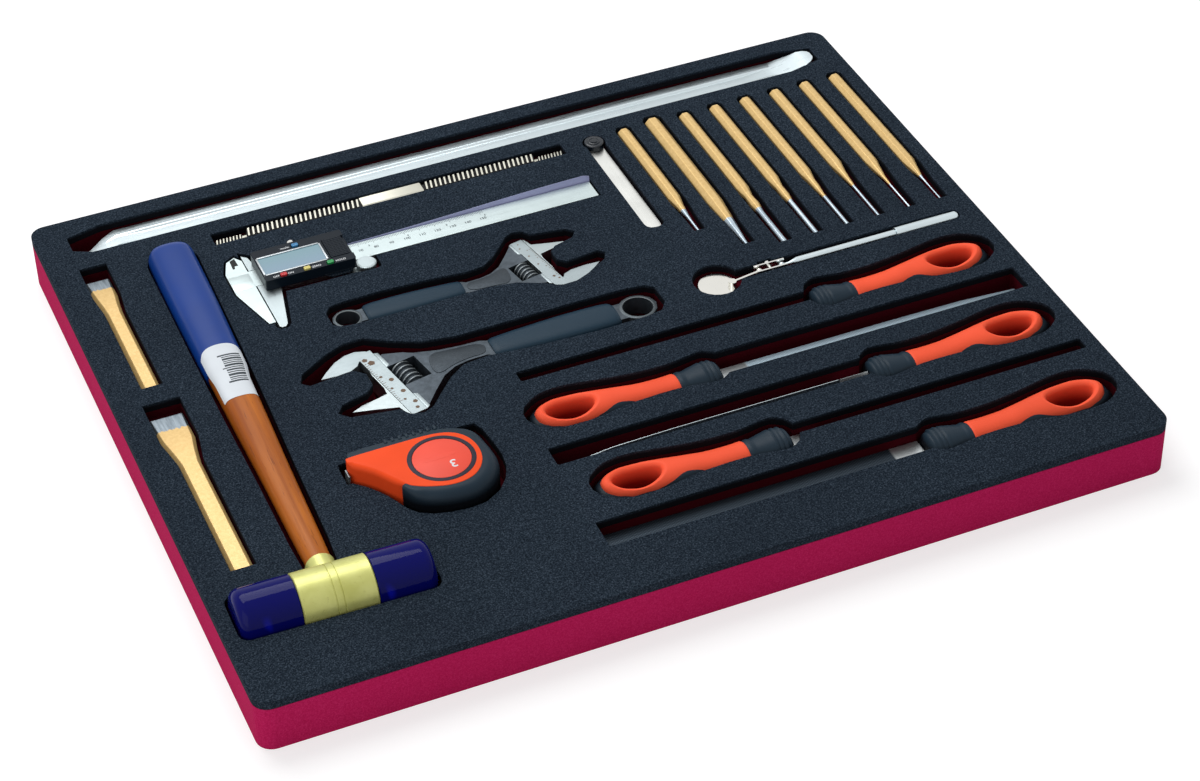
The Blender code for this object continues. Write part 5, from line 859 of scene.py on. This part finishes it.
def make_tape():
    low, high = TOP - 19.5, TOP + 10.5
    x0, y0, long, deep = -168.2, -122.3, 77, 58

    def round_outline(shares):
        return anticlockwise([(x0 + a * long, y0 + b * deep) for a, b in rounded_off(shares, 3)])

    def shell_edge(x, y):
        u, v = (x - x0) / long, (y - y0) / deep
        free = (1 - smooth_step(u, 0.24, 0.36)) * (1 - smooth_step(v, 0.74, 0.83))
        return 0.4 + 3 * free

    def bumper_edge(x, y):
        u, v = (x - x0) / long, (y - y0) / deep
        hidden = (1 - smooth_step(u, 0.36, 0.46)) * smooth_step(v, 0.3, 0.36)
        hidden *= 1 - smooth_step(v, 0.84, 0.92)
        full = smooth_step(1 - v, 0.06, 0.4) * smooth_step(u, 0.24, 0.42)
        return (1.3 + 5.8 * full) * (1 - hidden)

    shell = Build()
    shell.cushion(round_outline(TAPE_ORANGE_SHARES), low, high, shell_edge)
    shell.piece("tape_shell", "tape", ORANGE, 40, ["tape_case"])
    # Painted shade: the overmould is darker on its lower sides, from TOP + 7 down to TOP + 2.
    skin = shaded_rubber("overmould_skin", TOP + 7, TOP + 2)
    bumper = Build()
    bumper.cushion(round_outline(TAPE_BUMPER_SHARES), low, high - 0.3, bumper_edge)
    bumper.piece("tape_overmould", "tape", skin, 40, ["tape_bumper"])
    ribs = Build()
    for i in range(2, 10):
        x = -151 + i * 4.2
        rib = [(x - 1.1, -69.2), (x + 1.1, -69.2), (x + 0.9, -65.7), (x - 0.9, -65.7)]
        ribs.plate(rib, high - 16, high + 0.3, 0.8, 3)
    ribs.piece("tape_thumb_ribs", "tape", RUBBER)
    disc_x, disc_y = x0 + 0.64 * long, y0 + 0.485 * deep
    disc = Build()
    seat = Matrix.Translation((disc_x, disc_y, high))
    disc.turn([(19.4, -1.2), (19.4, 0.05), (19.1, 0.2), (17, 0.2), (16.8, 0)], 96, seat, 1)
    disc.turn([(16.9, -1), (16.9, -0.15), (16.4, 0.1), (0, 0.1)], 96, seat)
    disc.text("3", disc_x + 4.5, disc_y - 6.4, high + 0.12, 9, 180, 2)
    bar = rounded_off(oblong(-11, -2, 9, 2), 3)
    disc.plate(moved(bar, disc_x, disc_y + 1.5), high, high + 0.16, 0.05)
    finishes = [DISC_ORANGE, RING_GREY, WHITE_INK]
    disc.piece("tape_badge", "tape", finishes, 30, ["tape_medallion"])
    dress("tape_lock_button", RUBBER, 0.8, 3)
    dress("tape_blade", GREY_STEEL_AND_HIGHLIGHT, 0.15)


make_tape()

# Mallet

MALLET = Matrix.Translation((-206.6, -160.7, TOP - 1.6)) @ Matrix.Rotation(radians(-1.4), 4, "Z")
HANDLE_TABLE = ((0, 0.58), (0.06, 0.61), (0.25, 0.69), (0.45, 0.82), (0.65, 0.92), (0.9, 1), (1, 1))
WOOD_START = 25.3
WOOD_END = 326.6


def handle_section(y, coat=0.0, fade=1.0):
    """Points round the handle, anticlockwise from the right, in X and Z at this place along it."""
    along = (y - WOOD_START) / (WOOD_END - WOOD_START)
    half = 12.9 * flow(HANDLE_TABLE, along, 1)
    w, h = (half + coat) * fade, (half * 0.76 + coat) * fade
    points = rounded_off(eight_corners(w, h, 0.66 * w, 0.4 * h), 3)
    blocky = smooth_step(along, -0.02, 0.2)
    made = []
    for a, b in points:
        angle = math.atan2(b / h, a / w)
        made.append((
            w * cos(angle) * (1 - blocky) + a * blocky, h * sin(angle) * (1 - blocky) + b * blocky,
        ))
    return made


def make_mallet():
    wood = Finish("stained_wood", (0.4, 0.12, 0.03), 0.36, specular=0.15)
    fibres = wood.noise(300, 5, 0.65, (1, 0.02, 1), 1.4, 0.3)
    pores = wood.noise(900, 3, 0.7, (1, 0.05, 1), 1.4)
    bands = wood.noise(55, 2, 0.5, (1, 0.08, 1), 1.4, 0.6)
    browns = (0.3, (0.3, 0.07, 0.006)), (0.5, (0.42, 0.112, 0.01)), (0.72, (0.54, 0.16, 0.018))
    tone = wood.ramp(bands, *browns)
    tone = wood.mix(wood.span(fibres, 0.4, 0.68, 0, 0.5), tone, (0.2, 0.038, 0.008))
    tone = wood.mix(wood.span(pores, 0.62, 0.72, 0, 0.75), tone, (0.09, 0.018, 0.006))
    wood.color(tone)
    wood.feed("Roughness", wood.span(fibres, 0.3, 0.7, 0.3, 0.48))
    wood.bump(pores, 0.08, 0.3)

    def ring(y, coat=0.0, fade=1.0):
        return [(a, y, b) for a, b in handle_section(y, coat, fade)]

    handle = Build(MALLET)
    rings = [ring(y, 0, fade) for y, fade in ((23, 0.55), (25.2, 0.9), (25.6, 0.96), (26.6, 1))]
    handle.loft(rings + [ring(y) for y in range(30, 205, 5)])
    handle.piece("mallet_wood", "mallet", wood, 50, ["mallet_handle"])

    grip = Build(MALLET)
    start, end = 200, 329
    rings = [ring(start, 0.3), ring(start + 0.5, 1.1), ring(start + 1.4, 1.4)]
    rings += [ring(y, 1.4) for y in range(start + 5, end - 9, 5)]
    for angle in quarter(8):
        rings.append(ring(end - 8.6 + 8.6 * sin(angle), 1.4, 0.3 + 0.7 * cos(angle) ** 0.6))
    grip.loft(rings)
    grip.piece("mallet_dipped_grip", "mallet", BLUE_DIP, 50, ["mallet_grip"])

    def patch(build, y0, y1, from_share, to_share, lift, rows, columns, pick, bow=0.0):
        """A thin patch on the handle: shares run over the section from its right side to its left."""
        def surface(u, v, lift):
            y = y0 + (y1 - y0) * v
            coat = 1.4 * smooth_step(y, start - 14, start + 0.2)
            points = handle_section(min(y, end), coat + lift)
            count = len(points)
            place = (from_share + (to_share - from_share) * u) * count
            i = int(place)
            t = place - i
            a, b = points[i % count], points[(i + 1) % count]
            return (a[0] * (1 - t) + b[0] * t, y, a[1] * (1 - t) + b[1] * t)

        across = [j / columns for j in range(columns + 1)]
        grid = [(u, i / rows * (1 - bow * (2 * u - 1) ** 2)) for i in range(rows + 1) for u in across]
        upper = [surface(u, v, lift) for u, v in grid]
        lower = [surface(u, v, lift - 0.12) for u, v in grid]
        faces = []
        wide = columns + 1
        total = len(upper)
        for i in range(rows):
            for j in range(columns):
                a = i * wide + j
                faces.append((a, a + 1, a + wide + 1, a + wide))
                faces.append((total + a, total + a + wide, total + a + wide + 1, total + a + 1))
        rim = [(i * wide, (i + 1) * wide) for i in range(rows)]
        rim += [((i + 1) * wide + columns, i * wide + columns) for i in range(rows)]
        rim += [(j + 1, j) for j in range(columns)]
        rim += [(rows * wide + j, rows * wide + j + 1) for j in range(columns)]
        faces += [(a, b, total + b, total + a) for a, b in rim]
        build.add(upper + lower, faces, pick)

    label = Build(MALLET)
    patch(label, 170, 218, 0.1, 0.42, 0.2, 40, 20, 0, 0.12)
    widths = (1.4, 0.7, 0.9, 1.7, 0.7, 1.1, 0.7, 1.5, 0.8, 0.7, 1.6, 0.7, 1.2)
    y = 183
    for i, width in enumerate(widths):
        reach = 0.285 if i in (0, 6, 12) else 0.27
        patch(label, y, y + width, 0.16, reach, 0.26, 2, 8, 1)
        y += width + 0.9
    paper = plastic("label_paper", (0.72, 0.76, 0.8), 0.55)
    label.piece("mallet_label", "mallet", [paper, DARK_INK], 40)

    brass = Finish("olive_brass", (0.5, 0.47, 0.1), 0.38, 0.35)
    speck = brass.noise(240, 4, 0.7)
    blotch = brass.noise(50, 3, 0.6)
    tone = brass.ramp(blotch, (0.3, (0.5, 0.5, 0.13)), (0.7, (0.64, 0.64, 0.22)))
    brass.color(brass.mix(brass.span(speck, 0.6, 0.72, 0, 0.5), tone, (0.3, 0.26, 0.05)))
    brass.bump(speck, 0.08, 0.4)
    head = Build(MALLET)
    r = 16.99
    head.turn([
        (0, -21), (r - 0.6, -21), (r, -20.4), (r, -2.4), (r - 0.35, -2.2), (r - 0.35, -1.9),
        (r, -1.7), (r, 1.7), (r - 0.35, 1.9), (r - 0.35, 2.2), (r, 2.4),
        (r, 20.4), (r - 0.6, 21), (0, 21),
    ], 96, SIDEWAYS)
    upwards = Matrix.Rotation(radians(-90), 4, "X")
    head.turn([(8.2, 8), (8.2, 16), (8.35, 24.4), (7.9, 25), (6.2, 25)], 64, upwards)
    head.piece("mallet_collar", "mallet", brass, 35, ["mallet_head"])
    acetate = Finish("blue_acetate", (0.001, 0.0015, 0.075), 0.07, specular=0.08)
    # Painted glints: bright blue spots in a band round the caps' middle height stand for light inside the
    # acetate.
    glints = acetate.noise(46, 2, 0.5, (1, 0.5, 0.4))
    height = acetate.along((0, 0, 1))
    band = acetate.span(height, TOP - 8, TOP - 2)
    band = acetate.math("MULTIPLY", band, acetate.span(height, TOP + 9, TOP + 3))
    glow = acetate.math("MULTIPLY", band, acetate.span(glints, 0.55, 0.72))
    acetate.color(acetate.mix(glow, (0.002, 0.003, 0.11), (0.008, 0.014, 0.8)))
    acetate.bump(acetate.noise(35, 2, 0.5), 0.1, 0.25)
    for side, word in ((1, "right"), (-1, "left")):
        face = Build(MALLET)
        seat = Matrix.Translation((side * 21.3, 0, 0)) @ Matrix.Rotation(radians(90 * side), 4, "Y")
        profile = [(0, 0), (r - 0.4, 0), (r - 0.05, 0.4)]
        for angle in quarter(10):
            profile.append((r - 6.05 + 6 * cos(angle), 27.7 + 6 * sin(angle)))
        profile.append((0, 33.7))
        face.turn(profile, 96, seat)
        face.piece(f"mallet_{word}_cap", "mallet", acetate, 40, [f"mallet_face_{word}"])


make_mallet()

# Chisels, punches, feeler gauge and mirror

dress("small_chisel", painted_steel("small_chisel_lacquer", 153.4), 0.5)
dress("large_chisel", painted_steel("large_chisel_lacquer", 9.2), 0.6)
for name, place in (
    ("centre_punch", 78), ("drift_punch", 58), ("pin_punch_1", 60), ("pin_punch_2", 60), ("pin_punch_3", 55),
    ("pin_punch_4", 58), ("pin_punch_5", 50), ("pin_punch_6", 50),
):
    dress(name, painted_steel(name + "_lacquer", -place, (0, -1, 0), 0.4, 1.8), 0.35)


def make_feeler():
    hub = plastic("hub_lacquer", (0.008, 0.013, 0.02), 0.2, grain=600, depth=0.02, specular=0.4)
    dress("feeler_hub", hub, 0.5, 3)
    dress("feeler_leaves", steel("leaf_steel", (0.78, 0.79, 0.76), 0.3, (1, 0.05, 1)), 0.1)
    screw = Build()
    seat = Matrix.Translation((83.6, 166.6, TOP + 1))
    screw.turn([(3.9, -0.1), (3.9, 0.35), (3.6, 0.5), (3.1, 0.5), (2.9, 0.2), (0, 0.2)], 64, seat)
    screw.turn([(2.3, 0.1), (2.3, 0.5), (2, 0.75), (0, 0.85)], 48, seat)
    screw.piece("feeler_hub_rings", "feeler", hub, 30)


make_feeler()
dress("mirror_head", steel("mirror_face", (0.8, 0.79, 0.74), 0.12, streaks=0.03), 0.3, 3)
dress("mirror_link", MIRROR_STEEL, 0.25)
dress("mirror_tube", BRIGHT, 0.25)
dress("mirror_handle", BRIGHT, 0.25)

# Files

FILE_AXIS = TOP - 13
HANDLE_LENGTH = 120
HEEL_DISTANCE = 120.9
HANDLE_STATIONS = (
    # share from the bolster to the butt, half width, half thickness and shift to the back
    (0, 7.8, 7.8, 0), (0.012, 10.66, 10.66, 0), (0.04, 12.74, 12.74, 0), (0.075, 13, 13, 0),
    (0.13, 11.96, 11.96, 0), (0.22, 10.05, 10.45, 0), (0.34, 9.84, 10.23, 0.11), (0.45, 10.66, 10.9, 0.44),
    (0.56, 12.1, 11.2, 0.99), (0.66, 13.72, 10.6, 1.65), (0.76, 15.25, 10.3, 2.2), (0.85, 14.95, 10.3, 2.2),
    (0.92, 12.81, 9.6, 1.98), (0.97, 9.15, 7.6, 1.76), (1, 3.96, 3.6, 1.65),
)
INLAY_STATIONS = (
    # distance from the bolster, shift to the back, half width, middle height and half thickness
    (27.2, 0, 10.3, 0, 10.5), (28.4, 0, 10.8, 0, 11), (36, 0, 10.5, 0, 10.8), (44, 0.08, 10.5, 0, 10.9),
    (50, 0.25, 10.55, 0.1, 11), (58, 0.9, 10.5, 0.8, 10.9), (67, 1.75, 11, 1.7, 10.3),
    (77, 2.3, 12, 2.8, 9.6), (88, 2.6, 13, 3.7, 8.9), (99, 2.8, 13, 4, 8.8), (107, 2.6, 10.9, 4, 8.7),
    (111.5, 2.4, 8, 4, 8.2), (114, 2.3, 4.6, 4, 6.6), (114.8, 2.2, 1.4, 4, 3),
)
INLAY_POWER = 2.15
FUNNEL = ((-30, 5), (-12.9, 3.2), (-11, 1.6), (-9, 0.7), (-5, 0.1), (1, 0))
HOLE_MIDDLE = 93.4
HOLE_BACK = 2.4
HOLE_LONG, HOLE_WIDE = 14.8, 7.4
LIP = 3.2


def well_orange():
    """The handles' orange, with painted shade that darkens it down in the hanging hole."""
    made = Finish("orange_well", FILE_ORANGE, 0.5, specular=0.1)
    deep = made.span(made.along((0, 0, 1)), FILE_AXIS + 8, FILE_AXIS - 2)
    made.color(made.mix(deep, FILE_ORANGE, (0.3, 0.012, 0.008)))
    return made.bump(made.noise(900, 3, 0.6), 0.03, 0.4)


# Painted shade: the handles' black rubber is darker on its lower sides, from TOP - 3.5 down to TOP - 7, and
# the last finish paints shade in the hanging holes.
HANDLE_FINISHES = [shaded_rubber("handle_rubber", TOP - 3.5, TOP - 7), HANDLE_ORANGE, well_orange()]


def squashed(angle, power):
    c, s = cos(angle), sin(angle)
    return math.copysign(abs(c) ** (2 / power), c), math.copysign(abs(s) ** (2 / power), s)


def crest_height(distance, off):
    """How high the inlay's skin lies over the handle's axis, at this distance and shift to the back."""
    shift, half, height, thick = (flow(INLAY_STATIONS, distance, column) for column in (1, 2, 3, 4))
    share = min(0.97, abs(off - shift) / half)
    return height + thick * (1 - share ** INLAY_POWER) ** (1 / INLAY_POWER)


def make_handle(kind, butt, y, facing):
    bolster = butt - facing * HANDLE_LENGTH

    def station(distance, shift, half, height, thick, power, count):
        x = bolster + facing * distance
        pairs = [squashed(2 * math.pi * i / count, power) for i in range(count)]
        return [(x, y + shift + half * a, FILE_AXIS + height + thick * b) for a, b in pairs]

    places = [0, 0.004, 0.009]
    while places[-1] < 0.235:
        places.append(places[-1] + 0.006)
    while places[-1] < 0.955:
        places.append(places[-1] + 0.0125)
    places += [0.968, 0.976, 0.984, 0.990, 0.996, 1.0]
    rings = []
    for place in places:
        half, thick, shift = (flow(HANDLE_STATIONS, place, column) for column in (1, 2, 3))
        groove = max(0, *(1 - abs(place - centre) / 0.009 for centre in (0.028, 0.055, 0.082)))
        swell = 0.7 * sin(math.pi * (place - 0.19) / 0.04) if 0.19 < place < 0.23 else 0
        change = swell - 0.9 * groove
        rings.append(station(HANDLE_LENGTH * place, shift, half + change, 0, thick + change, 2.2, 64))
    body = Build()
    body.loft(rings)
    tool = kind + "_file"
    core = body.piece(tool + "_grip", tool, HANDLE_FINISHES, 50, [tool + "_handle"])

    rings = []
    distance = 27.2
    while distance < 114.85:
        shift, half, height, thick = (flow(INLAY_STATIONS, distance, column) for column in (1, 2, 3, 4))
        rings.append(station(distance, shift, half, height, thick, INLAY_POWER, 72))
        distance += 0.4 if distance < 28.4 or distance > 106 else 1.5
    inlay = Build()
    inlay.loft(rings, 1)
    shell = inlay.piece(tool + "_inlay", tool, HANDLE_FINISHES, 50)
    around = circle(0, 0, 1, 72)

    def hole_outline(grow):
        """Distance from the bolster and shift to the back of the points round the hole."""
        return [(HOLE_MIDDLE + (HOLE_LONG + grow) * a, HOLE_BACK + (HOLE_WIDE + grow) * b) for a, b in around]

    def hole_ring(grow, heights):
        pairs = zip(hole_outline(grow), heights)
        return [(bolster + facing * a, y + b, FILE_AXIS + height) for (a, b), height in pairs]

    crests = [crest_height(a, b) for a, b in hole_outline(LIP)]
    for obj, slack in ((core, 0.15), (shell, 0)):
        rings = [hole_ring(grow + slack, [height] * len(around)) for height, grow in FUNNEL]
        for angle in quarter(8):
            heights = [crest - LIP * (1 - sin(angle)) for crest in crests]
            rings.append(hole_ring(LIP * (1 - cos(angle)) + slack, heights))
        rings.append(hole_ring(LIP + 5 + slack, [crest + 9 for crest in crests]))
        hole = Build()
        hole.loft(rings, 2)
        shade(cut_away(obj, put_in("hole", hole.mesh("hole", HANDLE_FINISHES))), 50)


def blade_finish(kind, heel, facing, bright):
    made = Finish(f"{kind}_file_steel", (0.3, 0.32, 0.33), 0.4, 0.9)
    cuts = []
    for turn in (62, -48):
        inputs = {"Vector": made.turned((1, 1, 1), turn), "Scale": 240, "Distortion": 0.4, "Detail": 1.0}
        cuts.append(made.add("TexWave", inputs).outputs["Fac"])
    teeth = made.math("MULTIPLY", cuts[0], cuts[1])
    lines = made.noise(300, 3, 0.6, (0.05, 1, 1))
    low, high = (0.028, 0.038, 0.05), (0.06, 0.082, 0.105)
    # Painted light: the bright copy of the file steel stands for the light on the half-round blade's face,
    # and the dark copy for the shade on the other blades in their trenches.
    if bright:
        low, high = (0.39, 0.5, 0.58), (0.57, 0.7, 0.79)
    rough = made.mix(made.span(lines, 0.3, 0.7, 0, 0.5), made.ramp(teeth, (0.1, low), (0.6, high)), low)
    along = made.math("MULTIPLY", made.math("SUBTRACT", made.along((1, 0, 0)), heel), -facing)
    toothed = made.span(along, 17, 18.5)
    made.color(made.mix(toothed, (0.66, 0.7, 0.71), rough))
    made.feed("Roughness", made.span(toothed, 0, 1, 0.28, 0.45))
    return made.bump(made.math("MULTIPLY", teeth, toothed), 0.12, 0.15 if bright else 0.4)


for kind, butt, y, facing, bright in (
    ("round", 260.3, -33.5, 1, False), ("half_round", -57.5, -69.8, -1, True),
    ("three_square", 260.3, -107.3, 1, False), ("square", -47, -140.8, -1, False),
    ("flat", 260.3, -178.2, 1, False),
):
    make_handle(kind, butt, y, facing)
    heel = butt - facing * HEEL_DISTANCE
    dress(kind + "_file_blade", blade_finish(kind, heel, facing, bright), 0.2)


def make_ridge():
    """A painted highlight: a thin bright rod along the crest of the three-square blade, from its heel to its
    tip.
    """
    heel, y = 260.3 - HEEL_DISTANCE, -107.3
    crest = 14.4 / math.sqrt(3)
    rings = []
    for distance, scale in ((19, 1), (121.5, 1), (160.7, 0.904), (195.8, 0.4)):
        high = FILE_AXIS + crest * scale - 0.28
        rings.append([(heel - distance, y + a, high + b) for a, b in circle(0, 0, 0.26, 12)])
    ridge = Build()
    ridge.loft(rings)
    ridge.piece("three_square_file_crest_highlight", "three_square_file", BRIGHT, 40)


make_ridge()
